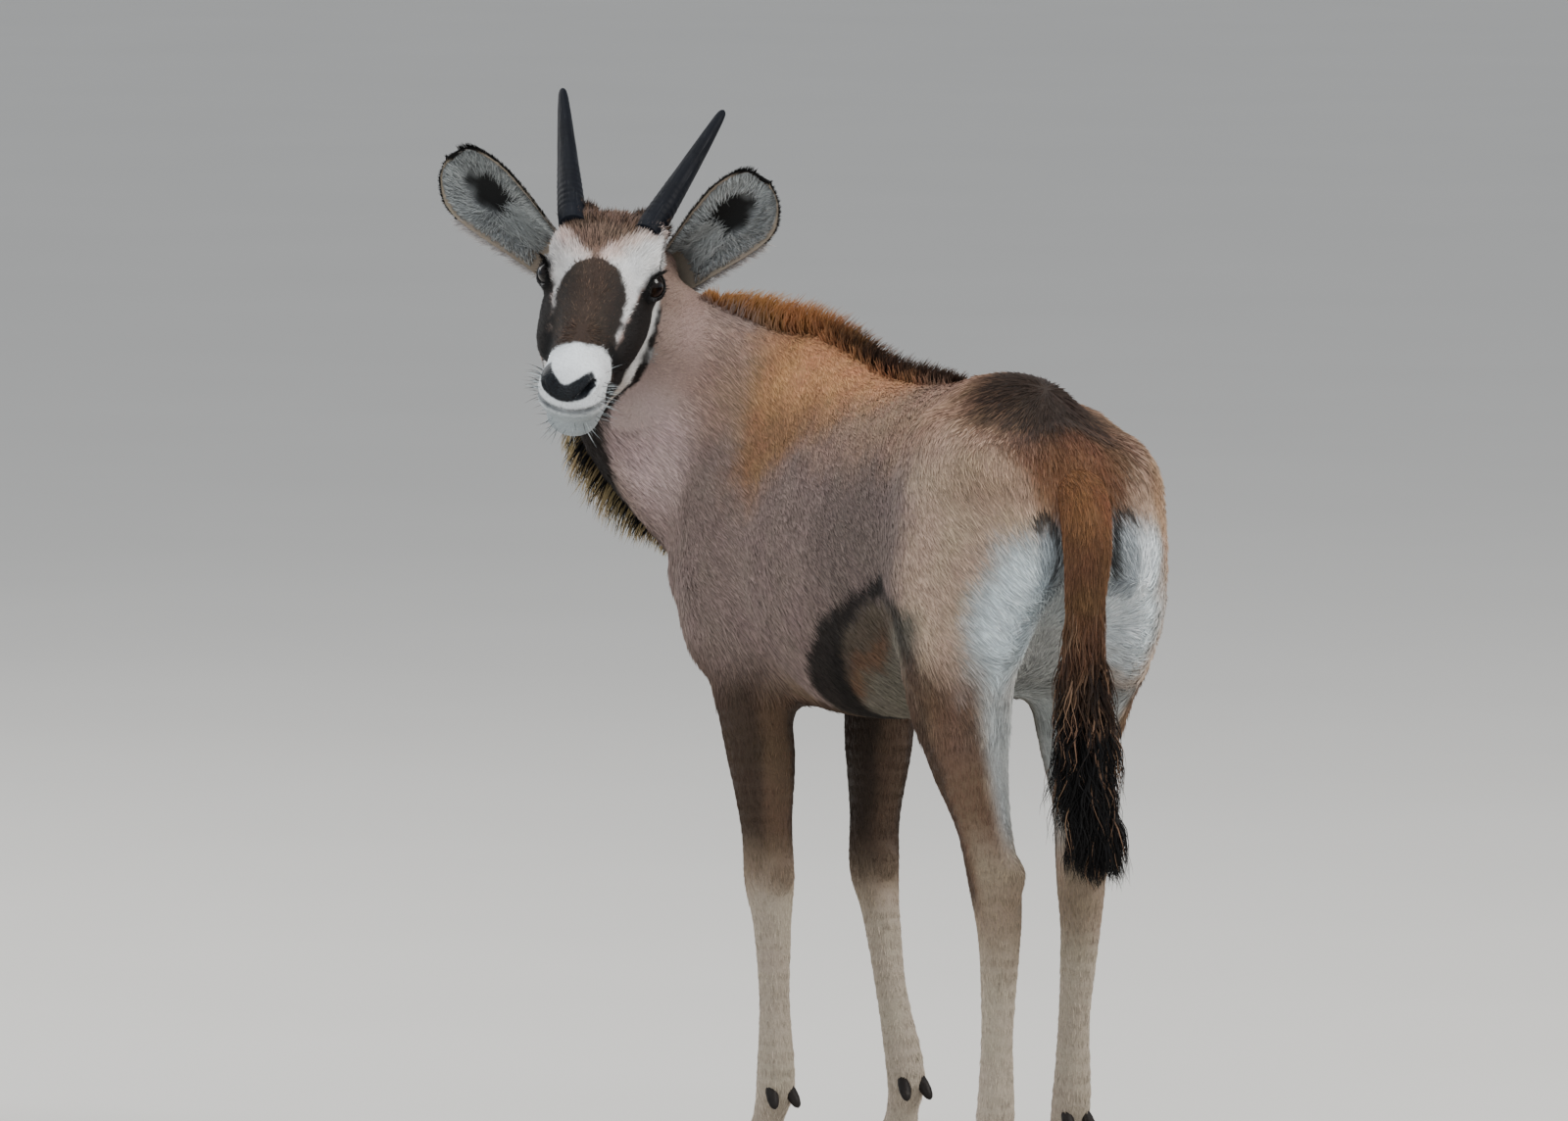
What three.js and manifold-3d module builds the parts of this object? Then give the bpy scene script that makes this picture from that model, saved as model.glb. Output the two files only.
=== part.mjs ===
// A gemsbok calf a few months old, standing and looking back over its left shoulder, at life size.
// Millimetres. X runs forward along the trunk, Y to the animal's left, Z up from the ground.
// The flesh is one smooth field of blended limbs and muscles. It is meshed part by part, and parted by
// thin plane cuts, so that neighbouring parts meet face to face.
import * as THREE from "three";
import Module from "manifold-3d";

const wasm = await Module();
wasm.setup();

// Driving dimensions
const seam = 0.3; // gap between neighbouring parts
const flatness = 0.15; // facets are merged where they differ by less than this
const kneeHeight = 292;
const hockHeight = 300;
const legTop = 450;
const coronetHeight = 36;
const loinCut = -100; // where the hindquarters part from the trunk
const headPlace = [360, 162, 872]; // midway between the eyes
const headYaw = 141; // degrees that the head turns to the left of the trunk's heading
const headPitch = 25;
const headRoll = 8; // the left side of the face is carried lower
const eyeRadius = 16;
const hornLength = 167;
const earReach = { left: [8, 98, 124], right: [8, -118, 103] }; // from each ear's root to its tip

const v3 = (x, y, z) => new THREE.Vector3(x, y, z);
const rad = THREE.MathUtils.degToRad;
const clamp = THREE.MathUtils.clamp;
const mix = THREE.MathUtils.lerp;
const hands = { left: 1, right: -1 };

// Fields. Each gives about the distance in millimetres from a point to a surface, negative inside.

const smoothMin = (a, b, k) => {
  const h = Math.max(k - Math.abs(a - b), 0) / k;
  return Math.min(a, b) - (h * h * k) / 4;
};
const blend = (k, first, ...rest) => rest.reduce((d, next) => smoothMin(d, next, k), first);

const catmull = (p0, p1, p2, p3, t) =>
  0.5 * (2 * p1 + (p2 - p0) * t + (2 * p0 - 5 * p1 + 4 * p2 - p3) * t * t + (3 * p1 - p0 - 3 * p2 + p3) * t * t * t);

// Rows of numbers, with smooth in-between rows.
function eased(rows, steps) {
  const last = rows.length - 1;
  return rows.slice(0, last).flatMap((b, i) => {
    const [a, c, d] = [rows[Math.max(i - 1, 0)], rows[i + 1], rows[Math.min(i + 2, last)]];
    const count = steps + (i === last - 1 ? 1 : 0);
    return Array.from({ length: count }, (_, j) => b.map((_, k) => catmull(a[k], b[k], c[k], d[k], j / steps)));
  });
}

// A bent body of oval sections. A station is a centre, a half width, the reach above and below the axis,
// and how much narrower the section is at its top than at its middle.
function sections(stations, side = [0, 1, 0], steps = 5) {
  const rows = eased(stations.map((s) => [...s.at, s.width, s.above, s.below, s.pinch ?? 0]), steps);
  return rows.map((row, i) => {
    const [a, b] = [rows[Math.max(i - 1, 0)], rows[Math.min(i + 1, rows.length - 1)]];
    const tangent = v3(b[0] - a[0], b[1] - a[1], b[2] - a[2]).normalize();
    const lateral = v3(...side).addScaledVector(tangent, -v3(...side).dot(tangent)).normalize();
    return { row, tangent, lateral, upward: tangent.clone().cross(lateral) };
  });
}

// Where a tube bends back on itself, the parts of it that are about as near share a point's distance, which
// keeps the inside of the bend smooth.
function tube(stations, share = 1) {
  const body = sections(stations);
  const rows = body.map((s) => s.row);
  const reach = 1.2 * Math.max(...rows.map((r) => Math.max(r[3], r[4], r[5])));
  const low = [0, 1, 2].map((m) => Math.min(...rows.map((r) => r[m])) - reach);
  const high = [0, 1, 2].map((m) => Math.max(...rows.map((r) => r[m])) + reach);
  const distance = (i, t, o, size) => {
    const [a, b] = [rows[i], rows[i + 1]];
    const at = (k) => mix(a[k], b[k], t);
    const part = (axis) => o.dot(body[i][axis].clone().lerp(body[i + 1][axis], t).normalize());
    const [along, across, up] = [part("tangent"), part("lateral"), part("upward")];
    const height = up > 0 ? at(4) : at(5);
    const width = at(3) * (1 - at(6) * clamp(up / height, -1, 1));
    if (size < 1e-6) return -Math.min(width, height);
    return size * (1 - 1 / Math.hypot(across / width, up / height, along / Math.min(width, height)));
  };
  return (x, y, z) => {
    const away = Math.hypot(
      Math.max(low[0] - x, x - high[0], 0), Math.max(low[1] - y, y - high[1], 0), Math.max(low[2] - z, z - high[2], 0));
    if (away > 40) return away;
    const spans = [];
    let nearest = Infinity;
    for (let i = 0; i < rows.length - 1; i++) {
      const [a, b] = [rows[i], rows[i + 1]];
      const [dx, dy, dz] = [b[0] - a[0], b[1] - a[1], b[2] - a[2]];
      const t = clamp(((x - a[0]) * dx + (y - a[1]) * dy + (z - a[2]) * dz) / (dx * dx + dy * dy + dz * dz), 0, 1);
      const o = [x - a[0] - t * dx, y - a[1] - t * dy, z - a[2] - t * dz];
      const size = Math.hypot(...o);
      nearest = Math.min(nearest, size);
      spans.push([size, i, t, o]);
    }
    let [sum, weight] = [0, 0];
    for (const [size, i, t, o] of spans) {
      if (size > nearest + 4 * share) continue;
      const w = Math.exp((nearest - size) / share);
      sum += w * distance(i, t, v3(...o), size);
      weight += w;
    }
    return sum / weight;
  };
}

// An egg of three radii, turned by degrees about x, y and z.
function egg(at, radii, turn = [0, 0, 0]) {
  const back = new THREE.Quaternion().setFromEuler(new THREE.Euler(...turn.map(rad), "ZYX")).invert();
  const far = Math.max(...radii) + 60;
  return (x, y, z) => {
    const p = v3(x - at[0], y - at[1], z - at[2]);
    const size = p.length();
    if (size > far) return size - far + 60;
    if (size < 1e-6) return -Math.min(...radii);
    p.applyQuaternion(back);
    return size * (1 - 1 / Math.hypot(p.x / radii[0], p.y / radii[1], p.z / radii[2]));
  };
}
const pair = (make) => {
  const [left, right] = [make(1), make(-1)];
  return (x, y, z) => Math.min(left(x, y, z), right(x, y, z));
};

// Trunk and neck

const trunkStations = [
  { at: [-266, 0, 658], width: 60, above: 112, below: 84 },
  { at: [-232, 0, 656], width: 92, above: 148, below: 122, pinch: 0.14 },
  { at: [-170, 0, 652], width: 111, above: 160, below: 146, pinch: 0.18 },
  { at: [-80, 0, 640], width: 111, above: 156, below: 156, pinch: 0.16 },
  { at: [40, 0, 628], width: 116, above: 164, below: 168, pinch: 0.18 },
  { at: [140, 0, 630], width: 112, above: 174, below: 174, pinch: 0.25 },
  { at: [225, 0, 635], width: 96, above: 180, below: 165, pinch: 0.35 },
  { at: [300, 0, 636], width: 84, above: 140, below: 138, pinch: 0.2 },
  { at: [345, 4, 634], width: 64, above: 92, below: 88 },
];
const trunk = tube(trunkStations);
const neckStations = [
  { at: [215, 0, 650], width: 88, above: 146, below: 140, pinch: 0.2 },
  { at: [330, 40, 702], width: 82, above: 134, below: 142, pinch: 0.25 },
  { at: [394, 92, 756], width: 70, above: 126, below: 118, pinch: 0.3 },
  { at: [408, 118, 812], width: 60, above: 88, below: 94, pinch: 0.15 },
  { at: [398, 136, 852], width: 52, above: 50, below: 58 },
];
const neck = tube(neckStations, 14);
const shoulderBlade = pair((hand) => egg([256, hand * 60, 636], [54, 34, 88], [hand * -10, 24, 0]));
const shoulderPoint = pair((hand) => egg([322, hand * 74, 582], [34, 32, 40]));
const upperArm = pair((hand) => egg([262, hand * 82, 552], [56, 34, 62], [0, -30, 0]));
const hipBone = pair((hand) => egg([-150, hand * 72, 742], [46, 26, 34], [hand * 20, 0, hand * -15]));
const seatBone = pair((hand) => egg([-306, hand * 48, 650], [26, 28, 44]));
const nuchalLine = tube([
  { at: [150, 0, 752], width: 40, above: 40, below: 40 },
  { at: [205, 2, 768], width: 40, above: 40, below: 40 },
  { at: [262, 18, 784], width: 38, above: 38, below: 38 },
  { at: [318, 52, 806], width: 36, above: 36, below: 36 },
  { at: [366, 98, 836], width: 36, above: 36, below: 36 },
  { at: [400, 124, 866], width: 36, above: 36, below: 36 },
]);
const brisket = egg([330, 6, 560], [40, 44, 52]);

// Legs. Each is one tube from the trunk to the coronet. The stations are those of a square stance, and
// a stride moves each height of a leg forward.

const hindStations = [
  { at: [-205, 58, 700], width: 64, above: 92, below: 104 },
  { at: [-210, 70, 616], width: 55, above: 102, below: 110 },
  { at: [-208, 78, 536], width: 46, above: 84, below: 90 },
  { at: [-234, 82, 462], width: 38, above: 58, below: 54 },
  { at: [-264, 82, 396], width: 27, above: 36, below: 28 },
  { at: [-284, 80, 326], width: 24, above: 28, below: 30 },
  { at: [-287, 79, 272], width: 20, above: 20, below: 23 },
  { at: [-282, 78, 190], width: 16.5, above: 16, below: 17 },
  { at: [-277, 78, 108], width: 20, above: 18, below: 21 },
  { at: [-262, 78, 68], width: 17, above: 16, below: 16 },
  { at: [-248, 78, 40], width: 21, above: 24, below: 21 },
  { at: [-240, 78, 12], width: 21, above: 24, below: 21 },
];
const foreStations = [
  { at: [262, 66, 640], width: 42, above: 66, below: 76 },
  { at: [250, 80, 560], width: 41, above: 54, below: 66 },
  { at: [220, 82, 490], width: 37, above: 46, below: 48 },
  { at: [206, 79, 420], width: 34, above: 41, below: 40 },
  { at: [203, 76, 350], width: 26, above: 27, below: 27 },
  { at: [203, 74, 298], width: 26, above: 26, below: 24 },
  { at: [200, 73, 254], width: 20, above: 18, below: 20 },
  { at: [198, 72, 180], width: 16.5, above: 15, below: 17 },
  { at: [197, 72, 104], width: 20, above: 18, below: 22 },
  { at: [211, 72, 66], width: 17, above: 16, below: 16 },
  { at: [223, 72, 40], width: 21, above: 24, below: 21 },
  { at: [231, 72, 12], width: 21, above: 24, below: 21 },
];
// Height and forward move of each leg, from the trunk down.
const strides = {
  hind_left: [[700, 0], [0, 0]],
  hind_right: [[640, 0], [540, 42], [430, 100], [330, 125], [200, 132], [0, 136]],
  fore_left: [[640, 0], [440, -16], [300, -22], [0, -24]],
  fore_right: [[640, 0], [480, 28], [380, 44], [300, 40], [200, 14], [100, -22], [0, -44]],
};
function stride(name, height) {
  const rows = strides[name];
  const i = Math.max(1, rows.findIndex(([z]) => z <= height));
  const [[z0, x0], [z1, x1]] = [rows[i - 1], rows[i]];
  return mix(x0, x1, clamp((z0 - height) / (z0 - z1), 0, 1));
}
const legNames = Object.keys(strides);
const legs = Object.fromEntries(legNames.map((name) => {
  const [end, handed] = name.split("_");
  const hand = hands[handed];
  const stations = (end === "hind" ? hindStations : foreStations).map((s) => ({
    ...s, at: [s.at[0] + stride(name, s.at[2]), hand * s.at[1], s.at[2]],
  }));
  const shaft = tube(stations);
  const bump = ([x, y, z], radii) => egg([x + stride(name, z), hand * y, z], radii);
  const heel = end === "hind" ? bump([-314, 80, 342], [13, 12, 22]) : bump([180, 74, 304], [12, 13, 15]);
  const tendon = tube([[-268, 82, 440, 16], [-296, 82, 392, 9], [-316, 80, 352, 10]].map(([x, y, z, r]) => ({
    at: [x + stride(name, z), hand * y, z], width: r, above: r, below: r,
  })));
  const field = end === "hind"
    ? (x, y, z) => blend(12, shaft(x, y, z), heel(x, y, z), tendon(x, y, z))
    : (x, y, z) => blend(12, shaft(x, y, z), heel(x, y, z));
  return [name, { stations, field }];
}));

// Head. Its own axes: x to the nose, y to its left, z up through the brow, from midway between the eyes.

const headTurn = new THREE.Quaternion()
  .setFromAxisAngle(v3(0, 0, 1), rad(headYaw))
  .multiply(new THREE.Quaternion().setFromAxisAngle(v3(0, 1, 0), rad(headPitch)))
  .multiply(new THREE.Quaternion().setFromAxisAngle(v3(1, 0, 0), -rad(headRoll)));
const headMatrix = new THREE.Matrix4().compose(v3(...headPlace), headTurn, v3(1, 1, 1));
const intoHead = headMatrix.clone().invert().elements;
const fromHead = (p) => v3(...p).applyMatrix4(headMatrix).toArray();

const skull = tube([
  { at: [-88, 0, -14], width: 40, above: 34, below: 38 },
  { at: [-56, 0, -8], width: 49, above: 43, below: 50 },
  { at: [-18, 0, -12], width: 54, above: 52, below: 54 },
  { at: [20, 0, -17], width: 48, above: 50, below: 50 },
  { at: [62, 0, -27], width: 38, above: 43, below: 38, pinch: 0.1 },
  { at: [104, 0, -36], width: 33, above: 37, below: 32, pinch: 0.15 },
  { at: [136, 0, -43], width: 33, above: 33, below: 30, pinch: 0.1 },
  { at: [148, 0, -47], width: 33, above: 28, below: 28 },
]);
const jaw = tube([
  { at: [-44, 0, -62], width: 46, above: 30, below: 38 },
  { at: [0, 0, -72], width: 53, above: 30, below: 36 },
  { at: [42, 0, -78], width: 49, above: 30, below: 28 },
  { at: [90, 0, -78], width: 33, above: 27, below: 19 },
  { at: [134, 0, -79], width: 27, above: 24, below: 22 },
]);
const lids = pair((hand) => egg([8, hand * 43, 0], [26, 19, 19]));
const brows = pair((hand) => egg([-14, hand * 36, 18], [34, 18, 16]));
const cheeks = pair((hand) => egg([-6, hand * 37, -57], [52, 22, 46], [0, 10, 0]));
const faceCrests = pair((hand) => egg([42, hand * 35, -29], [55, 18, 24], [0, 12, 0]));
const hornBosses = pair((hand) => egg([-52, hand * 34, 24], [26, 18, 17]));
const earRoots = pair((hand) => egg([-70, hand * 40, -28], [26, 20, 24]));
const nose = egg([144, 0, -33], [22, 30, 20]);
const lips = pair((hand) => egg([136, hand * 16, -52], [28, 17.5, 17]));

const headField = (x, y, z) => {
  let d = blend(16, skull(x, y, z), cheeks(x, y, z), faceCrests(x, y, z), hornBosses(x, y, z), earRoots(x, y, z));
  d = blend(12, d, nose(x, y, z), lips(x, y, z), jaw(x, y, z));
  return blend(8, d, brows(x, y, z), lids(x, y, z));
};

const bodyField = (x, y, z) => {
  let d = blend(44, trunk(x, y, z), neck(x, y, z), nuchalLine(x, y, z));
  d = blend(30, d, shoulderBlade(x, y, z), shoulderPoint(x, y, z), upperArm(x, y, z), brisket(x, y, z),
    hipBone(x, y, z), seatBone(x, y, z));
  return blend(34, d, ...legNames.map((name) => legs[name].field(x, y, z)));
};
const flesh = (x, y, z) => {
  const e = intoHead;
  const [hx, hy, hz] = [0, 1, 2].map((i) => e[i] * x + e[4 + i] * y + e[8 + i] * z + e[12 + i]);
  const away = Math.hypot(hx - 30, hy, hz + 20);
  if (away > 260) return bodyField(x, y, z);
  const soft = 26 - 18 * THREE.MathUtils.smoothstep(hx, -60, 0); // a crease parts the jaw from the neck
  return smoothMin(bodyField(x, y, z), headField(hx, hy, hz), soft);
};

// Meshing

function solid(vertices, triangles) {
  let volume = 0;
  const at = (i) => v3(vertices[3 * i], vertices[3 * i + 1], vertices[3 * i + 2]);
  for (let i = 0; i < triangles.length; i += 3) {
    volume += at(triangles[i]).dot(at(triangles[i + 1]).cross(at(triangles[i + 2])));
  }
  return new wasm.Manifold(new wasm.Mesh({
    numProp: 3,
    vertProperties: new Float32Array(vertices),
    triVerts: new Uint32Array(volume < 0 ? triangles.slice().reverse() : triangles),
  }));
}

// The closed surface where a field is zero, on a grid of the given cells, with each vertex then moved onto
// the field's own surface. Where the grid's box cuts the body, the surface is closed just inside the box.
// The field may be given in another frame, whose matrix places the result.
function meshed(field, low, high, cell, frame) {
  const n = [0, 1, 2].map((i) => Math.ceil((high[i] - low[i]) / cell[i]) + 2);
  const origin = [0, 1, 2].map((i) => (low[i] + high[i]) / 2 - ((n[i] - 1) * cell[i]) / 2);
  const step = [1, n[0], n[0] * n[1]];
  const value = new Float32Array(n[0] * n[1] * n[2]);
  for (let k = 0; k < n[2]; k++)
    for (let j = 0; j < n[1]; j++)
      for (let i = 0; i < n[0]; i++) {
        const rim = i === 0 || j === 0 || k === 0 || i === n[0] - 1 || j === n[1] - 1 || k === n[2] - 1;
        const d = field(origin[0] + i * cell[0], origin[1] + j * cell[1], origin[2] + k * cell[2]);
        value[i + j * step[1] + k * step[2]] = rim ? Math.max(d, 0.5 * Math.min(...cell)) : d;
      }
  const corners = [0, 1, 2, 3, 4, 5, 6, 7].map((c) => [c & 1, (c >> 1) & 1, c >> 2]);
  const edges = corners.flatMap((a, i) => corners
    .map((b, j) => [i, j, a, b])
    .filter(([, j, , b]) => i < j && Math.abs(a[0] - b[0]) + Math.abs(a[1] - b[1]) + Math.abs(a[2] - b[2]) === 1));
  const vertexOf = new Map();
  const points = [];
  for (let k = 0; k < n[2] - 1; k++)
    for (let j = 0; j < n[1] - 1; j++)
      for (let i = 0; i < n[0] - 1; i++) {
        const base = i + j * step[1] + k * step[2];
        const at = corners.map((c) => value[base + c[0] + c[1] * step[1] + c[2] * step[2]]);
        const inside = at.filter((d) => d < 0).length;
        if (inside === 0 || inside === 8) continue;
        const sum = [0, 0, 0];
        let count = 0;
        for (const [a, b, ca, cb] of edges) {
          if (at[a] < 0 === at[b] < 0) continue;
          const t = at[a] / (at[a] - at[b]);
          for (let m = 0; m < 3; m++) sum[m] += mix(ca[m], cb[m], t);
          count++;
        }
        vertexOf.set(base, points.length);
        points.push([i, j, k].map((c, m) => origin[m] + (c + sum[m] / count) * cell[m]));
      }
  const quads = [];
  for (let axis = 0; axis < 3; axis++) {
    const [u, w] = [(axis + 1) % 3, (axis + 2) % 3];
    const first = [0, 1, 2].map((m) => (m === axis ? 0 : 1));
    for (let k = first[2]; k < n[2] - 1; k++)
      for (let j = first[1]; j < n[1] - 1; j++)
        for (let i = first[0]; i < n[0] - 1; i++) {
          const base = i + j * step[1] + k * step[2];
          const [a, b] = [value[base] < 0, value[base + step[axis]] < 0];
          if (a === b) continue;
          const ring = [base - step[u] - step[w], base - step[w], base, base - step[u]].map((c) => vertexOf.get(c));
          quads.push(a ? ring : ring.reverse());
        }
  }
  for (const p of points) {
    const onRim = p.some((c, m) => c < origin[m] + 1.01 * cell[m] || c > origin[m] + (n[m] - 2.01) * cell[m]);
    if (!onRim) settle(field, p, 0.5 * Math.min(...cell));
  }
  const span = (a, b) => v3(...points[a]).distanceTo(v3(...points[b]));
  const triangles = quads.flatMap(([a, b, c, d]) =>
    span(a, c) < span(b, d) ? [a, b, c, a, c, d] : [a, b, d, b, c, d]);
  const placed = frame ? points.map((p) => v3(...p).applyMatrix4(frame).toArray()) : points;
  return solid(placed.flat(), triangles);
}

function slope(field, p) {
  const d = field(...p);
  return { d, g: v3(field(p[0] + 0.5, p[1], p[2]) - d, field(p[0], p[1] + 0.5, p[2]) - d,
    field(p[0], p[1], p[2] + 0.5) - d).multiplyScalar(2) };
}

// Moves a point onto the surface of a field, by no more than a reach a pass.
function settle(field, p, reach, passes = 2) {
  for (let pass = 0; pass < passes; pass++) {
    const { d, g } = slope(field, p);
    const steep = g.lengthSq();
    if (steep < 0.04) return p;
    const move = clamp(-d / steep, -reach, reach);
    p[0] += move * g.x;
    p[1] += move * g.y;
    p[2] += move * g.z;
  }
  return p;
}

// A solid skin over rings of points, all of one count, closed by a fan at each end.
function ringed(rings) {
  const sides = rings[0].length;
  const middle = (ring) => [0, 1, 2].map((m) => ring.reduce((sum, p) => sum + p[m], 0) / sides);
  const vertices = [...rings.flat(), middle(rings[0]), middle(rings.at(-1))].flat();
  const [start, end] = [rings.length * sides, rings.length * sides + 1];
  const triangles = [];
  for (let j = 0; j < sides; j++) {
    const next = (j + 1) % sides;
    for (let i = 0; i < rings.length - 1; i++) {
      const [a, b] = [i * sides, (i + 1) * sides];
      triangles.push(a + j, a + next, b + next, a + j, b + next, b + j);
    }
    const last = (rings.length - 1) * sides;
    triangles.push(start, next, j, end, last + j, last + next);
  }
  return solid(vertices, triangles);
}

// An oval ring about a centre, in the plane of two directions.
const oval = (center, u, w, sides, phase = 0) =>
  Array.from({ length: sides }, (_, i) => {
    const angle = ((i + phase) / sides) * 2 * Math.PI;
    return v3(...center).addScaledVector(u, Math.cos(angle)).addScaledVector(w, Math.sin(angle)).toArray();
  });

// A leg's flesh between two heights: level rings of rays cast out from the bone to the field's surface.
function sleeve(leg, heights, sides) {
  const rows = leg.stations.map((s) => s.at);
  return ringed(heights.map((z) => {
    const i = clamp(rows.findIndex((r) => r[2] <= z), 1, rows.length - 1);
    const share = clamp((rows[i - 1][2] - z) / (rows[i - 1][2] - rows[i][2]), 0, 1);
    const [x, y] = [mix(rows[i - 1][0], rows[i][0], share), mix(rows[i - 1][1], rows[i][1], share)];
    return Array.from({ length: sides }, (_, j) => {
      const [c, s] = [Math.cos((j / sides) * 2 * Math.PI), Math.sin((j / sides) * 2 * Math.PI)];
      let [inner, outer] = [0, 4];
      while (flesh(x + c * outer, y + s * outer, z) < 0) [inner, outer] = [outer, outer + 3];
      for (let pass = 0; pass < 12; pass++) {
        const r = (inner + outer) / 2;
        if (flesh(x + c * r, y + s * r, z) < 0) inner = r;
        else outer = r;
      }
      return [x + c * inner, y + s * inner, z];
    });
  }));
}

// The same solid with each vertex moved out along its normal.
function swollen(shape, by) {
  const m = shape.getMesh();
  const points = Array.from({ length: m.numVert }, (_, i) => v3(...m.vertProperties.subarray(i * m.numProp, i * m.numProp + 3)));
  const normals = points.map(() => v3(0, 0, 0));
  for (let i = 0; i < m.triVerts.length; i += 3) {
    const [a, b, c] = m.triVerts.subarray(i, i + 3);
    const face = points[b].clone().sub(points[a]).cross(points[c].clone().sub(points[a]));
    for (const v of [a, b, c]) normals[v].add(face);
  }
  points.forEach((p, i) => p.addScaledVector(normals[i].normalize(), by));
  return solid(points.flatMap((p) => p.toArray()), [...m.triVerts]);
}

const largest = (shape) => shape.decompose().sort((a, b) => b.volume() - a.volume())[0];

// A half space is a unit normal and a point on its plane.
function plane(normal, at) {
  const n = v3(...normal).normalize();
  return { n, offset: n.dot(v3(...at)) };
}
const before = (shape, { n, offset }) => shape.trimByPlane(n.toArray(), offset + seam / 2);
const behind = (shape, { n, offset }) => shape.trimByPlane(n.clone().negate().toArray(), -offset + seam / 2);

const model = new THREE.Group();
model.name = "gemsbok_calf";
function node(name, shape, color, roughness) {
  const m = shape.simplify(flatness).getMesh();
  const geometry = new THREE.BufferGeometry();
  const xyz = new Float32Array(m.numVert * 3);
  for (let i = 0; i < m.numVert; i++) xyz.set(m.vertProperties.subarray(i * m.numProp, i * m.numProp + 3), i * 3);
  geometry.setAttribute("position", new THREE.BufferAttribute(xyz, 3));
  geometry.setIndex(new THREE.BufferAttribute(new Uint32Array(m.triVerts), 1));
  const mesh = new THREE.Mesh(geometry, new THREE.MeshStandardMaterial({ color, roughness, metalness: 0 }));
  mesh.name = name;
  model.add(mesh);
}

// Planes that part the flesh
const hipPlane = plane([1, 0.55, 0], [loinCut, 0, 650]);
const neckPlane = plane([0.72, 0.22, 0.66], [286, 14, 690]);
const napePlane = plane(v3(0.1, -0.75, 0.65).applyQuaternion(headTurn).toArray(), fromHead([-40, 24, -97]));
const legPlane = plane([0, 0, 1], [0, 0, legTop]);

const above = (shape) => before(shape, legPlane);
const whole = above(meshed(flesh, [-400, -170, 400], [530, 240, 920], [27, 22.5, 24]));
const quarters = largest(behind(whole, hipPlane));
const barrel = largest(before(behind(whole, neckPlane), hipPlane));
const throat = largest(behind(before(whole, neckPlane), napePlane));
const headShape = largest(before(
  meshed((x, y, z) => flesh(...fromHead([x, y, z])), [-185, -135, -225], [185, 150, 70], [11, 10.5, 10.5], headMatrix),
  napePlane));

// Eyes sit in sockets behind almond openings in the lids.
const headAxis = (x, y, z) => v3(x, y, z).normalize().applyQuaternion(headTurn);
function ball(center, radius, axis) {
  const u = v3(0, 0, 1).cross(axis).normalize();
  const w = axis.clone().cross(u);
  const bands = [14, 38, 64, 90, 116, 142, 166].map(rad);
  return ringed(bands.map((angle) => oval(
    v3(...center).addScaledVector(axis, radius * Math.cos(angle)).toArray(),
    u.clone().multiplyScalar(radius * Math.sin(angle)), w.clone().multiplyScalar(radius * Math.sin(angle)), 14)));
}
const eyes = Object.entries(hands).map(([name, hand]) => {
  const center = fromHead([8, hand * 42, 0]);
  const out = headAxis(0.4, hand * 0.9, 0.14);
  const slant = headAxis(0.95, 0, -0.3);
  slant.addScaledVector(out, -slant.dot(out)).normalize();
  const upright = out.clone().cross(slant);
  const opening = ringed([7, 15, 40].map((reach) => oval(
    v3(...center).addScaledVector(out, reach).toArray(),
    slant.clone().multiplyScalar(reach > 15 ? 17 : 14), upright.clone().multiplyScalar(reach > 15 ? 13 : 9.5), 12)));
  return { name, ball: ball(center, eyeRadius, out), socket: ball(center, eyeRadius + 1.03 * seam, out), opening };
});

// Horns and ears grow from the head, and end at its skin.
function horn(hand) {
  const root = v3(-50, hand * 39 - 2, 33);
  const rise = v3(-0.93, hand * 0.245, 0.275).normalize();
  const bow = v3(0, 0, 1);
  const profile = [[-14, 13.6], [8, 13.6], [36, 12.4], [64, 10.8], [94, 9.1], [124, 7.4], [150, 5.6], [162, 4.3],
    [hornLength, 2.2]];
  const u = rise.clone().cross(v3(0, 0, 1)).normalize();
  const w = rise.clone().cross(u);
  return ringed(profile.map(([s, r]) => oval(
    root.clone().addScaledVector(rise, s).addScaledVector(bow, 5 * (s / hornLength) ** 2).toArray(),
    u.clone().multiplyScalar(r), w.clone().multiplyScalar(r * 1.05), 10))
    .map((ring) => ring.map(fromHead)));
}

// Along an ear: the share of its length, the half width to its lower and upper edge, and the cup's depth.
const earProfile = [
  [-0.08, 17, 15, 16], [0.04, 24, 20, 24], [0.16, 27, 23, 26], [0.3, 31, 27, 25], [0.44, 35.5, 31.5, 23], [0.58, 39, 35, 19],
  [0.7, 40, 37, 15], [0.8, 36.5, 36.5, 11], [0.88, 29, 34, 8], [0.94, 20, 30, 5], [0.99, 8, 25, 3], [1.02, -4, 20, 1]];
function ear(name, hand) {
  const root = v3(-70, hand * 50, -34);
  const reach = v3(...earReach[name]);
  const length = reach.clone().normalize();
  const facing = v3(0.85, hand * 0.1, 0.1);
  facing.addScaledVector(length, -facing.dot(length)).normalize();
  const across = length.clone().cross(facing).multiplyScalar(hand); // to the lower edge
  const rows = earProfile;
  return ringed(rows.map(([share, lower, upper, depth]) => {
    const thick = 3 + 2.5 * (1 - share);
    const point = (v, back) => root.clone()
      .addScaledVector(reach, share)
      .addScaledVector(across, v * (v > 0 ? lower : upper) * (back ? 1.03 : 1))
      .addScaledVector(facing, 6 * v * v * (1 - share) - depth * Math.cos(v * 1.571) - (back ? thick : 0)).toArray();
    const front = [-1, -0.7, -0.36, 0, 0.36, 0.7, 1].map((v) => point(v, false));
    const rear = [0.85, 0.42, 0, -0.42, -0.85].map((v) => point(v, true));
    return [...front, ...rear].map(fromHead);
  }));
}

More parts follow.
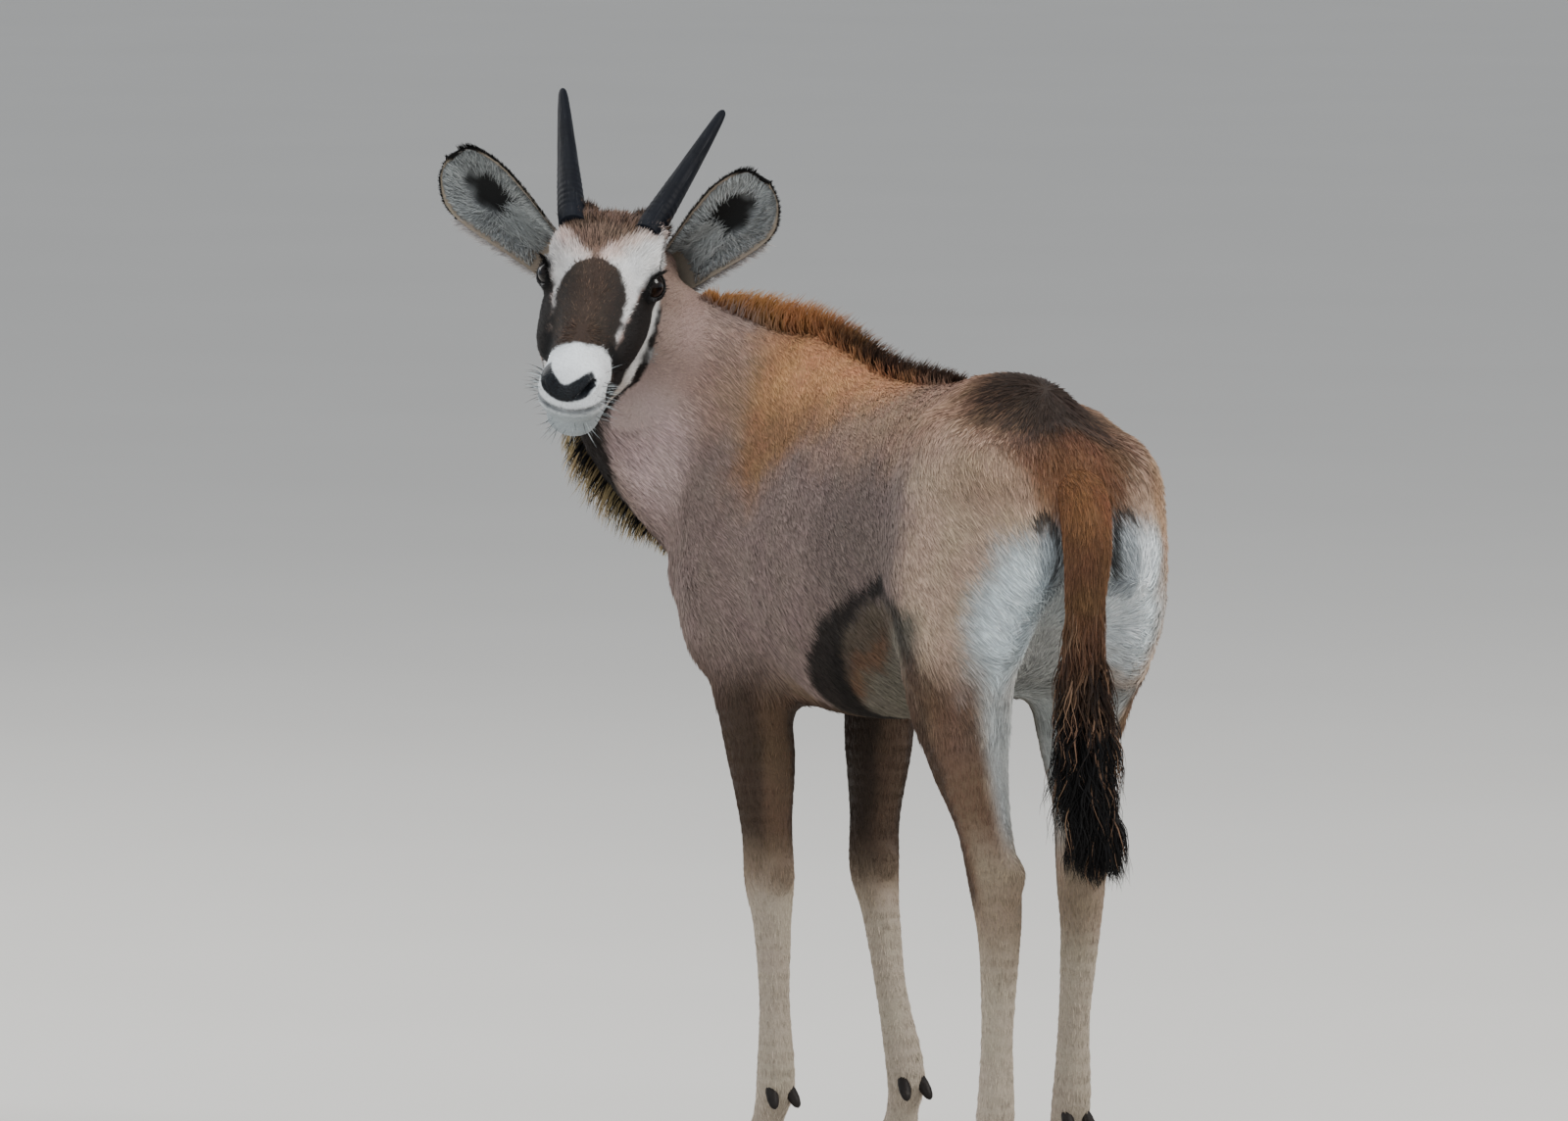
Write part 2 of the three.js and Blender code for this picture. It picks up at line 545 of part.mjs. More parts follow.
// The mouth is a groove along the lips, and the nostrils are commas sunk into the nose.
function groove(path, sizes, sink) {
  const field = (x, y, z) => headField(x, y, z);
  const points = path.map((p) => settle(field, [...p], 20, 6));
  return ringed(points.map((p, i) => {
    const out = slope(field, p).g.normalize();
    const [a, b] = [points[Math.max(i - 1, 0)], points[Math.min(i + 1, points.length - 1)]];
    const wide = v3(b[0] - a[0], b[1] - a[1], b[2] - a[2]).cross(out).normalize();
    const at = (up, side) => v3(...p).addScaledVector(out, up).addScaledVector(wide, side).toArray();
    const [half, depth] = sizes[i];
    return [at(4, half * 1.4), at(-depth * 0.5, half), at(-depth, 0.2), at(-depth, -0.2), at(-depth * 0.5, -half),
      at(4, -half * 1.4)].map(fromHead);
  }));
}
const mouth = groove(
  [[104, 34, -65], [132, 35, -58], [155, 32, -52], [170, 17, -54], [175, 0, -55], [170, -17, -54], [155, -32, -52],
    [132, -35, -58], [104, -34, -65]],
  [[0.4, 1], [1.2, 3], [1.4, 4], [1.5, 4.5], [1.6, 5], [1.5, 4.5], [1.4, 4], [1.2, 3], [0.4, 1]]);
const nostrils = Object.values(hands).map((hand) => groove(
  [[167, hand * 7, -41], [165, hand * 13, -39], [160, hand * 20, -33], [152, hand * 25, -27], [144, hand * 26, -24]],
  [[1.6, 3], [3.4, 7], [4, 9], [2.6, 6], [0.8, 2]]));

const headSkin = swollen(headShape, seam);
let face = headShape.subtract(mouth);
for (const nostril of nostrils) face = face.subtract(nostril);
for (const eye of eyes) face = face.subtract(eye.opening).subtract(eye.socket);

// Tail, from the rump down to the core of its tuft
const tailStations = [
  { at: [-278, 0, 716], width: 24, above: 20, below: 20 },
  { at: [-318, 7, 698], width: 25, above: 21, below: 21 },
  { at: [-344, 16, 655], width: 24, above: 20, below: 20 },
  { at: [-350, 22, 600], width: 21, above: 18, below: 18 },
  { at: [-349, 22, 540], width: 19, above: 17, below: 17 },
  { at: [-349, 20, 485], width: 22, above: 17, below: 17 },
  { at: [-350, 17, 434], width: 25, above: 17, below: 17 },
  { at: [-352, 10, 400], width: 18, above: 13, below: 13 },
  { at: [-353, 5, 378], width: 9, above: 7, below: 7 },
];
const tailCore = ringed(sections(tailStations, [0, 1, 0], 2).map(({ row, lateral, upward }) => oval(
  row.slice(0, 3), lateral.clone().multiplyScalar(row[3]), upward.clone().multiplyScalar(row[4]), 12)));

// Locks. A lock is flat, tapers, and bends from the way it leaves its root to the way that it lies.
function draws(seed) {
  let state = seed;
  return (low, high) => {
    state = (state * 1664525 + 1013904223) % 4294967296;
    return mix(low, high, state / 4294967296);
  };
}
const lockTaper = [[-0.3, 0.85, 0.9], [0.25, 1, 1], [0.68, 0.74, 0.62], [1, 0.16, 0.2]]; // share of length, width, thickness
function lock(root, rise, lie, edge, { length, width, thick }) {
  const [start, end] = [rise.clone().normalize(), lie.clone().normalize()];
  return ringed(lockTaper.map(([t, wide, deep]) => {
    const turn = end.clone().sub(start).multiplyScalar(Math.max(t, 0));
    const middle = root.clone().addScaledVector(start, t * length).addScaledVector(turn, (t * length) / 2);
    const heading = start.clone().add(turn).normalize();
    const across = edge.clone().addScaledVector(heading, -edge.dot(heading)).normalize();
    const face = heading.clone().cross(across);
    return oval(middle.toArray(), across.multiplyScalar((width * wide) / 2), face.multiplyScalar((thick * deep) / 2), 4);
  }));
}
const level = (values, t) => {
  const i = Math.min(Math.floor(t * (values.length - 1)), values.length - 2);
  return mix(values[i], values[i + 1], t * (values.length - 1) - i);
};
const fused = (core, locks) => locks.reduce((shape, next) => shape.add(next), core);

// A low ridge of close hair under the locks of a mane or fringe.
function ridge(path, heights, thick) {
  return ringed(path.map((p, i) => {
    const out = slope(flesh, p).g.normalize();
    const [a, b] = [path[Math.max(i - 1, 0)], path[Math.min(i + 1, path.length - 1)]];
    const wide = v3(b[0] - a[0], b[1] - a[1], b[2] - a[2]).cross(out).normalize();
    const at = (up, side) => v3(...p).addScaledVector(out, up).addScaledVector(wide, side).toArray();
    return [at(-14, thick), at(heights[i] / 2, thick * 0.7), at(heights[i], 0.6), at(heights[i], -0.6),
      at(heights[i] / 2, -thick * 0.7), at(-14, -thick)];
  }));
}

// A row of locks along a line on the skin, staggered to its two sides. Each style gives the way the locks
// rise and lie, from the skin's outward normal and the line's own heading.
function fringed(path, heights, { count, seed, offset, width, thick, rise, lie }) {
  const draw = draws(seed);
  const line = new THREE.CatmullRomCurve3(path.map((p) => v3(...p)));
  return Array.from({ length: count }, (_, i) => {
    const t = (i + 0.5) / count;
    const side = (i % 2 ? 1 : -1) * offset;
    const heading = line.getTangent(t);
    const out = slope(flesh, line.getPoint(t).toArray()).g.normalize();
    const across = heading.clone().cross(out).normalize();
    const root = v3(...settle(flesh, line.getPoint(t).addScaledVector(across, side).toArray(), 20, 4));
    const splay = draw(0.1, 0.3) * Math.sign(side);
    return lock(root, rise({ t, out, heading, draw }).addScaledVector(across, splay),
      lie({ t, out, heading, draw }).addScaledVector(across, splay * 0.6),
      heading.clone().addScaledVector(across, draw(-0.5, 0.5)), {
        length: level(heights, t) * draw(1.15, 1.4), width: width * draw(0.85, 1.15), thick: thick * draw(0.85, 1.15),
      });
  });
}
const mixed = (a, u, b, w) => u.clone().multiplyScalar(a).addScaledVector(w, b);

const crestGuide = [[330, 62, 855], [306, 44, 846], [278, 26, 838], [248, 14, 830], [215, 4, 824], [175, 0, 816],
  [130, 0, 806], [80, 0, 797], [30, 0, 792], [-20, 0, 792], [-60, 0, 796]];
const maneHeights = [9, 22, 25, 23, 20, 17, 14, 12, 9, 7, 5];
const crest = crestGuide.map((p) => settle(flesh, [...p], 30, 6));
const mane = fused(ridge(crest, maneHeights.map((h) => h * 0.45), 6), fringed(crest, maneHeights, {
  count: 25, seed: 11, offset: 4, width: 34, thick: 7,
  rise: ({ t, out, heading, draw }) => mixed(1, out, (t < 0.1 ? -0.35 : 0.5) + draw(-0.15, 0.15), heading),
  lie: ({ t, out, heading, draw }) => mixed(0.5, out, (t < 0.1 ? -0.7 : 1) + draw(-0.2, 0.2), heading),
}));
const throatGuide = [[478, 140, 722], [474, 118, 700], [460, 94, 676], [444, 76, 650], [430, 66, 628]];
const fringeHeights = [24, 40, 44, 34, 16];
const throatLine = throatGuide.map((p) => settle(flesh, [...p], 30, 6));
const down = v3(0, 0, -1);
const fringe = fused(ridge(throatLine, fringeHeights.map((h) => h * 0.35), 7), fringed(throatLine, fringeHeights, {
  count: 9, seed: 23, offset: 6, width: 27, thick: 8,
  rise: ({ out, draw }) => mixed(1, out, 0.2 + draw(-0.15, 0.15), down),
  lie: ({ out, draw }) => mixed(0.45, out, 1 + draw(-0.15, 0.15), down),
}));

// The tail's tuft: rings of hanging locks about its core, each ring turned half a lock from the last
const tuftRings = [[556, 4, 92], [518, 4, 104], [478, 5, 104], [438, 4, 92], [402, 3, 58]]; // height, locks, length
function tuftLocks() {
  const draw = draws(37);
  const line = new THREE.CatmullRomCurve3(tailStations.map((s) => v3(...s.at)));
  const spine = line.getPoints(80);
  return tuftRings.flatMap(([z, count, length], ring) => Array.from({ length: count }, (_, i) => {
    const angle = ((i + (ring % 2) / 2 + draw(-0.12, 0.12)) / count) * 2 * Math.PI;
    const middle = spine.find((p) => p.z < z) ?? spine.at(-1);
    const out = v3(0.55 * Math.sin(angle), Math.cos(angle), 0);
    const root = middle.clone().addScaledVector(out, 15).setZ(z);
    const sweep = v3(0, -0.09 * Math.sign(ring - 1.5) + draw(-0.1, 0.1), 0);
    return lock(root, mixed(draw(0.55, 0.75), out, 1, down), mixed(draw(-0.05, 0.15), out, 1, down).add(sweep),
      v3(-out.y, out.x, 0), { length: length * draw(0.9, 1.05), width: draw(24, 30), thick: draw(9, 11) });
  }));
}
const tuft = tuftLocks();

// Hooves and dewclaws
function claw(center, side) {
  const outline = (toe, heel, wide) => {
    const inner = 1.6 * side;
    return [[toe, inner + side * 2], [toe - 8, side * wide * 0.72], [toe * 0.4, side * wide], [heel * 0.4, side * wide],
      [heel * 0.86, side * wide * 0.82], [heel, side * wide * 0.45], [heel * 0.9, inner], [0, inner], [toe - 10, inner]];
  };
  const levels = [[0, 34, -22, 20], [4, 33.5, -23, 20.5], [18, 28, -22, 20.5], [coronetHeight - seam / 2, 20, -19, 19]];
  return ringed(levels.map(([z, toe, heel, wide]) =>
    outline(toe, heel, wide).map(([x, y]) => [center[0] + x, center[1] + y, z])));
}
function dewclaw(name, side) {
  const [end, handed] = name.split("_");
  const x = (end === "hind" ? -289 : 186) + stride(name, 88);
  const y = (end === "hind" ? 78 : 72) * hands[handed] + side * 10;
  const drop = v3(-0.62, side * 0.12, -0.78).normalize();
  const wide = v3(0, 1, 0);
  const deep = drop.clone().cross(wide).normalize();
  return ringed([[-4, 6], [10, 6.3], [21, 3]].map(([s, r]) => oval(
    v3(x, y, 96).addScaledVector(drop, s).toArray(), wide.clone().multiplyScalar(r),
    deep.clone().multiplyScalar(r * 0.8), 6)));
}
const feet = Object.fromEntries(legNames.map((name) => {
  const x = (name.startsWith("hind") ? -248 : 223) + stride(name, 40);
  const y = (name.startsWith("hind") ? 78 : 72) * hands[name.split("_")[1]];
  return [name, [x, y]];
}));

const coat = 0x93755f;
node("hindquarters", quarters, coat, 0.9);
const withersMane = largest(behind(mane, neckPlane));
const ears = Object.fromEntries(Object.entries(hands).map(([name, hand]) =>
  [name, largest(ear(name, hand).subtract(headSkin).subtract(swollen(throat, 2 * seam)))]));
const neckHair = behind(before(mane, neckPlane).add(fringe), napePlane);
node("torso", largest(barrel.add(withersMane)), coat, 0.9);
node("neck", largest(throat.add(neckHair)), coat, 0.9);
node("head", largest(face), coat, 0.9);
for (const eye of eyes) node(`eye_${eye.name}`, eye.ball, 0x14100e, 0.15);
for (const [name, hand] of Object.entries(hands)) {
  node(`horn_${name}`, largest(horn(hand).subtract(headSkin)), 0x2b2d35, 0.6);
  node(`ear_${name}`, ears[name], 0xb7aea4, 0.9);
}
node("tail", largest(fused(tailCore, tuft).subtract(swollen(quarters, seam))), 0x6a3d24, 0.9);
for (const name of legNames) {
  const split = name.startsWith("hind") ? hockHeight : kneeHeight;
  const upper = sleeve(legs[name], [legTop - seam / 2, 432, 412, 390, 366, 350, 336, 318, split + seam / 2], 12);
  const lower = sleeve(legs[name], [split - seam / 2, 276, 250, 185, 128, 108, 94, 70, 48, coronetHeight + seam / 2], 12);
  node(`${name}_upper`, upper, coat, 0.9);
  node(`${name}_lower`, lower, coat, 0.9);
  const shank = swollen(lower, seam);
  for (const [mark, side] of [["a", 1], ["b", -1]]) {
    node(`hoof_${name}_${mark}`, claw(feet[name], side), 0x2a2623, 0.5);
    node(`dewclaw_${name}_${mark}`, largest(dewclaw(name, side).subtract(shank)), 0x2a2623, 0.5);
  }
}

const extent = new THREE.Box3().setFromObject(model);
const middle = extent.getCenter(v3(0, 0, 0));
model.position.set(-middle.x, -middle.y, -extent.min.z);

export default model;
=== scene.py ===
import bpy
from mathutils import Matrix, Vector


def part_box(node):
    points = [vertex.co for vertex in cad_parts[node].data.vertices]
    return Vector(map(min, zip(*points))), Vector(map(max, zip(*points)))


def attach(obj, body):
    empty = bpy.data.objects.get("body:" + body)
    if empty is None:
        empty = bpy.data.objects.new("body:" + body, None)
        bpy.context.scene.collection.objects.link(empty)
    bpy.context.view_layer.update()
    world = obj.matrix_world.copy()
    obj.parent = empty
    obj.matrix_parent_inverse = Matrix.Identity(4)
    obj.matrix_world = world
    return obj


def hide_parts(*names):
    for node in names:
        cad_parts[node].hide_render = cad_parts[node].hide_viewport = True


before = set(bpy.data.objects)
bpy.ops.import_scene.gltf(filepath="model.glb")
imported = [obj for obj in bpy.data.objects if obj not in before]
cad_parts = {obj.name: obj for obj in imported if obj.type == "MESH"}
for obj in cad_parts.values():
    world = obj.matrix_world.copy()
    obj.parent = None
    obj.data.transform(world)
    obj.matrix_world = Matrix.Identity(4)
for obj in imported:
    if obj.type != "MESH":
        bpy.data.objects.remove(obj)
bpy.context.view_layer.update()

import math
import time

import bmesh
import bpy
import numpy as np
from mathutils import Vector

# A gemsbok calf as a still, life-size model: one skin under a short coat, with its mane, throat fringe, tail,
# ears, horns, eyes and hooves. Shapes are worked out in millimetres in the trunk's own axes, X forward, Y to
# the animal's left and Z up from the ground, and then moved into the frame's metres.
started = time.time()
hoofCorner = np.array([-0.271, 0.0796, 0.0])  # low corner of the first hoof in the trunk's axes
place = np.array(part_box("hoof_hind_left_a")[0]) - hoofCorner


def report(stage):
    print(f"{stage}: {time.time() - started:.1f} s")


# Camera, floor and light
camera = {
    "aim": (0.064, 0.1205, 0.6175),  # metres, in the trunk's axes
    "distance": 16.0,
    "aside": 28.0,  # degrees that it stands to the left of straight behind
    "elevation": 5.0,
    "lens": 385.2,
    "sensor": 36,
    "clipEnd": 200,
}


def makeCamera():
    aside, rise = math.radians(camera["aside"]), math.radians(camera["elevation"])
    back = Vector((-math.cos(aside) * math.cos(rise), math.sin(aside) * math.cos(rise), math.sin(rise)))
    data = bpy.data.cameras.new("camera")
    data.lens, data.sensor_width, data.clip_end = camera["lens"], camera["sensor"], camera["clipEnd"]
    view = bpy.data.objects.new("camera", data)
    view.location = Vector(camera["aim"]) + Vector(place) + back * camera["distance"]
    view.rotation_euler = back.to_track_quat("Z", "Y").to_euler()
    bpy.context.scene.collection.objects.link(view)
    bpy.context.scene.camera = view


studio = {
    "floor": {"radius": 30, "sides": 96, "tone": (0.62, 0.60, 0.56), "dim": 0.94, "mottle": 1.7,
              "rough": 0.85},
    "sky": {"tone": (0.80, 0.84, 0.90), "strength": 0.75},
    "aim": (0, 0, 0.6),
    "lights": [  # name, place, size, watts, tone
        ("key", (-3.4, -3.7, 4.4), 2.6, 350, (1.0, 0.97, 0.93)),
        ("top", (0.2, 0.8, 5.2), 4.0, 170, (0.96, 0.98, 1.0)),
        ("fill", (-3.4, 4.4, 2.4), 3.4, 120, (0.94, 0.97, 1.0)),
        ("front", (4.2, 1.6, 3.0), 3.0, 90, (1.0, 0.99, 0.97)),
    ],
}


def makeFloor():
    form = studio["floor"]
    angles = np.linspace(0, 2 * np.pi, form["sides"] + 1)[:-1]
    rim = np.stack([form["radius"] * np.cos(angles), form["radius"] * np.sin(angles), 0 * angles], 1)
    mesh = bpy.data.meshes.new("floor")
    mesh.from_pydata(rim.tolist(), [], [list(range(form["sides"]))])
    floor = bpy.data.objects.new("floor", mesh)
    bpy.context.scene.collection.objects.link(floor)
    paint = bpy.data.materials.new("palePaint")
    paint.use_nodes = True
    nodes, links = paint.node_tree.nodes, paint.node_tree.links
    shader = nodes["Principled BSDF"]
    where = nodes.new("ShaderNodeTexCoord")
    mottle = nodes.new("ShaderNodeTexNoise")
    mottle.inputs["Scale"].default_value = form["mottle"]
    blend = nodes.new("ShaderNodeMix")
    blend.data_type = "RGBA"
    blend.inputs[6].default_value = (*form["tone"], 1)
    blend.inputs[7].default_value = (*[t * form["dim"] for t in form["tone"]], 1)
    links.new(where.outputs["Object"], mottle.inputs["Vector"])
    links.new(mottle.outputs["Fac"], blend.inputs[0])
    links.new(blend.outputs[2], shader.inputs["Base Color"])
    shader.inputs["Roughness"].default_value = form["rough"]
    mesh.materials.append(paint)


def makeLight():
    world = bpy.data.worlds.new("softSky")
    world.use_nodes = True
    sky = world.node_tree.nodes["Background"]
    sky.inputs["Color"].default_value = (*studio["sky"]["tone"], 1)
    sky.inputs["Strength"].default_value = studio["sky"]["strength"]
    bpy.context.scene.world = world
    for name, spot, size, watts, tone in studio["lights"]:
        data = bpy.data.lights.new(name, "AREA")
        data.size, data.energy, data.color = size, watts, tone
        lamp = bpy.data.objects.new(name, data)
        lamp.location = spot
        lamp.rotation_euler = (Vector(spot) - Vector(studio["aim"])).to_track_quat("Z", "Y").to_euler()
        bpy.context.scene.collection.objects.link(lamp)


makeCamera()
makeFloor()
makeLight()
report("camera, floor and light")


# Flesh. A field gives about the distance in millimetres from each point to a surface, negative inside.
def unit(v):
    return v / np.maximum(np.linalg.norm(v, axis=-1, keepdims=True), 1e-9)


def smoothMin(a, b, k):  # the lesser of two, less a quarter of k where they are equal
    h = np.maximum(k - np.abs(a - b), 0) / k
    return np.minimum(a, b) - h * h * k / 4


def blended(k, first, *others):
    for other in others:
        first = smoothMin(first, other, k)
    return first


def ramp(x, low, high):  # 0 below low, 1 above high, and 3t2 - 2t3 between
    t = np.clip((x - low) / (high - low), 0, 1)
    return t * t * (3 - 2 * t)


def eased(rows, steps):  # Catmull-Rom rows in between given rows
    rows = np.array(rows, float)
    last = len(rows) - 1
    out = []
    for i in range(last):
        a, b, c, d = rows[max(i - 1, 0)], rows[i], rows[i + 1], rows[min(i + 2, last)]
        t = np.arange(steps + (i == last - 1))[:, None] / steps
        out.append(0.5 * (2 * b + (c - a) * t + (2 * a - 5 * b + 4 * c - d) * t ** 2
                          + (3 * b - a - 3 * c + d) * t ** 3))
    return np.concatenate(out)


def axesAlong(rows):  # tangent, sideways and upward directions at each row of a path
    centres = rows[:, :3]
    tangent = unit(np.vstack([centres[1:], centres[-1:]]) - np.vstack([centres[:1], centres[:-1]]))
    across = unit(np.array([0, 1, 0]) - tangent * tangent[:, 1:2])
    return tangent, across, np.cross(tangent, across)


# A bent body of oval sections. Rows: centre, half width, reach above and below, and narrowing to the top.
# Each span gives size * (1 - 1 / scaled size), and spans about as near share a point's distance. Farther than
# the margin from the body's box, the distance to the box is enough.
def tube(stations, share=1, steps=5, margin=40):
    rows = eased(stations, steps)
    axes = axesAlong(rows)
    reach = 1.2 * rows[:, 3:6].max()
    low, high = rows[:, :3].min(0) - reach, rows[:, :3].max(0) + reach

    def field(points):
        away = np.linalg.norm(np.maximum(np.maximum(low - points, points - high), 0), axis=1)
        near = np.flatnonzero(away <= margin)
        q = points[near]
        sizes, places = np.empty((2, len(rows) - 1, len(q)))
        for i in range(len(rows) - 1):
            d = rows[i + 1, :3] - rows[i, :3]
            offset = q - rows[i, :3]
            places[i] = np.clip(offset @ d / (d @ d), 0, 1)
            sizes[i] = np.linalg.norm(offset - places[i][:, None] * d, axis=1)
        nearest = sizes.min(0) if len(q) else np.zeros(0)
        total, weight = np.zeros((2, len(q)))
        for i in range(len(rows) - 1):
            pick = np.flatnonzero(sizes[i] <= nearest + 4 * share)
            t, size = places[i][pick][:, None], sizes[i][pick]
            row = rows[i] * (1 - t) + rows[i + 1] * t
            offset = q[pick] - row[:, :3]
            along, side, up = [(offset * unit(a[i] * (1 - t) + a[i + 1] * t)).sum(1) for a in axes]
            height = np.where(up > 0, row[:, 4], row[:, 5])
            width = row[:, 3] * (1 - row[:, 6] * np.clip(up / height, -1, 1))
            scaled = np.sqrt((side / width) ** 2 + (up / height) ** 2
                             + (along / np.minimum(width, height)) ** 2)
            w = np.exp((nearest[pick] - size) / share)
            total[pick] += w * size * (1 - 1 / np.maximum(scaled, 1e-9))
            weight[pick] += w
        away[near] = total / np.maximum(weight, 1e-12)
        return away

    return field


def turned(degrees):  # the matrix that turns about x, then y, then z
    (cx, cy, cz), (sx, sy, sz) = np.cos(np.radians(degrees)), np.sin(np.radians(degrees))
    aboutX = np.array([[1, 0, 0], [0, cx, -sx], [0, sx, cx]])
    aboutY = np.array([[cy, 0, sy], [0, 1, 0], [-sy, 0, cy]])
    aboutZ = np.array([[cz, -sz, 0], [sz, cz, 0], [0, 0, 1]])
    return aboutZ @ aboutY @ aboutX


def egg(at, radii, turn=(0, 0, 0), margin=60):  # an egg of three radii: size * (1 - 1 / scaled size)
    axes, radii = turned(turn), np.array(radii, float)
    far = radii.max() + margin

    def field(points):
        offset = points - np.array(at, float)
        size = np.linalg.norm(offset, axis=1)
        scaled = np.linalg.norm(offset @ axes / radii, axis=1)
        return np.where(size > far, size - far + margin, size * (1 - 1 / np.maximum(scaled, 1e-9)))

    return field


def twins(at, radii, turn=(0, 0, 0)):  # the same egg on the left and on the right
    left, right = [egg(at * np.array([1, hand, 1]), radii, turn * np.array([hand, 1, hand]))
                   for hand in (1, -1)]
    return lambda points: np.minimum(left(points), right(points))


trunk = {
    "spine": tube([
        (-266, 0, 658, 60, 112, 84, 0), (-232, 0, 656, 92, 148, 122, .14),
        (-170, 0, 652, 111, 160, 146, .18), (-80, 0, 640, 111, 156, 156, .16),
        (40, 0, 628, 116, 164, 168, .18), (140, 0, 630, 112, 174, 174, .25),
        (225, 0, 635, 96, 180, 165, .35), (300, 0, 636, 84, 140, 138, .2), (345, 4, 634, 64, 92, 88, 0)]),
    "neck": tube([
        (215, 0, 650, 88, 146, 140, .2), (330, 40, 702, 82, 134, 142, .25), (394, 92, 756, 70, 126, 118, .3),
        (408, 118, 812, 60, 88, 94, .15), (398, 136, 852, 52, 50, 58, 0)], 14),
    "nape": tube([
        (150, 0, 752, 40, 40, 40, 0), (205, 2, 768, 40, 40, 40, 0), (262, 18, 784, 38, 38, 38, 0),
        (318, 52, 806, 36, 36, 36, 0), (366, 98, 836, 36, 36, 36, 0), (400, 124, 866, 36, 36, 36, 0)]),
    "muscles": [
        twins((256, 60, 636), (54, 34, 88), (-10, 24, 0)),  # shoulder blade
        twins((322, 74, 582), (34, 32, 40)),  # shoulder point
        twins((262, 82, 552), (56, 34, 62), (0, -30, 0)),  # upper arm
        egg((330, 6, 560), (40, 44, 52)),  # brisket
        twins((-150, 72, 742), (46, 26, 34), (20, 0, -15)),  # hip bone
        twins((-306, 48, 650), (26, 28, 44))],  # seat bone
    "blends": (44, 30, 34),
}
legRows = {
    "hind": [
        (-205, 58, 700, 64, 92, 104, 0), (-210, 70, 616, 55, 102, 110, 0), (-208, 78, 536, 46, 84, 90, 0),
        (-234, 82, 462, 38, 58, 54, 0), (-264, 82, 396, 27, 36, 28, 0), (-284, 80, 326, 24, 28, 30, 0),
        (-287, 79, 272, 20, 20, 23, 0), (-282, 78, 190, 16.5, 16, 17, 0), (-277, 78, 108, 20, 18, 21, 0),
        (-262, 78, 68, 17, 16, 16, 0), (-248, 78, 40, 21, 24, 21, 0), (-240, 78, 12, 21, 24, 21, 0)],
    "fore": [
        (262, 66, 640, 42, 66, 76, 0), (250, 80, 560, 41, 54, 66, 0), (220, 82, 490, 37, 46, 48, 0),
        (206, 79, 420, 34, 41, 40, 0), (203, 76, 350, 26, 27, 27, 0), (203, 74, 298, 26, 26, 24, 0),
        (200, 73, 254, 20, 18, 20, 0), (198, 72, 180, 16.5, 15, 17, 0), (197, 72, 104, 20, 18, 22, 0),
        (211, 72, 66, 17, 16, 16, 0), (223, 72, 40, 21, 24, 21, 0), (231, 72, 12, 21, 24, 21, 0)],
}
strides = {  # height, and how far forward the stride moves that height of the leg
    "hind_left": [(700, 0), (0, 0)],
    "hind_right": [(640, 0), (540, 42), (430, 100), (330, 125), (200, 132), (0, 136)],
    "fore_left": [(640, 0), (440, -16), (300, -22), (0, -24)],
    "fore_right": [(640, 0), (480, 28), (380, 44), (300, 40), (200, 14), (100, -22), (0, -44)],
}


def stride(name, height):
    heights, moves = zip(*strides[name][::-1])
    return np.interp(height, heights, moves)


hands = {"left": 1, "right": -1}


def handOf(name):
    return hands[name.split("_")[1]]


def legPath(name):  # the leg's stations with its stride and side
    rows = legRows[name.split("_")[0]]
    return [(x + stride(name, z), handOf(name) * y, z, *rest) for x, y, z, *rest in rows]


def legField(name):
    def moved(x, y, z):
        return x + stride(name, z), handOf(name) * y, z
    shaft = tube(legPath(name))
    if name.startswith("fore"):
        heel = egg(moved(180, 74, 304), (12, 13, 15))
        return lambda p: blended(12, shaft(p), heel(p))
    heel = egg(moved(-314, 80, 342), (13, 12, 22))
    tendon = tube([(*moved(x, y, z), r, r, r, 0)
                   for x, y, z, r in ((-268, 82, 440, 16), (-296, 82, 392, 9), (-316, 80, 352, 10))])
    return lambda p: blended(12, shaft(p), heel(p), tendon(p))


legs = {name: legField(name) for name in strides}

# The head's own axes start midway between the eyes: x to the nose, y to its left, z up through the brow.
head = {
    "place": np.array([360, 162, 872.0]),
    "axes": turned((0, 0, 141)) @ turned((0, 25, 0)) @ turned((-8, 0, 0)),
    "skull": tube([
        (-88, 0, -14, 40, 34, 38, 0), (-56, 0, -8, 49, 43, 50, 0), (-18, 0, -12, 54, 52, 54, 0),
        (20, 0, -17, 48, 50, 50, 0), (62, 0, -27, 38, 43, 38, .1), (104, 0, -36, 33, 37, 32, .15),
        (136, 0, -43, 33, 33, 30, .1), (148, 0, -47, 33, 28, 28, 0)]),
    "jaw": tube([
        (-44, 0, -62, 46, 30, 38, 0), (0, 0, -72, 53, 30, 36, 0), (42, 0, -78, 49, 30, 28, 0),
        (90, 0, -78, 33, 27, 19, 0), (134, 0, -79, 27, 24, 22, 0)]),
    "cheeks": twins((-6, 37, -57), (52, 22, 46), (0, 10, 0)),
    "crests": twins((42, 35, -29), (55, 18, 24), (0, 12, 0)),
    "hornBosses": twins((-52, 34, 24), (26, 18, 17)),
    "earRoots": twins((-70, 40, -28), (26, 20, 24)),
    "nose": egg((144, 0, -33), (22, 30, 20)),
    "lips": twins((136, 16, -52), (28, 17.5, 17)),
    "brows": twins((-14, 36, 18), (34, 18, 16)),
    "lids": twins((8, 43, 0), (26, 19, 19)),
    "blends": (16, 12, 8, 26),
    "middle": (40, 0, -40),
    "field": ((30, 0, -20), 260),  # middle and reach of the part of space where the head's form counts
}


def intoHead(points):
    return (points - head["place"]) @ head["axes"]


def fromHead(points):
    return np.asarray(points, float) @ head["axes"].T + head["place"]


def headField(p):
    first, second, third, _ = head["blends"]
    d = blended(first, *[head[part](p) for part in ("skull", "cheeks", "crests", "hornBosses", "earRoots")])
    d = blended(second, d, *[head[part](p) for part in ("nose", "lips", "jaw")])
    return blended(third, d, *[head[part](p) for part in ("brows", "lids")])


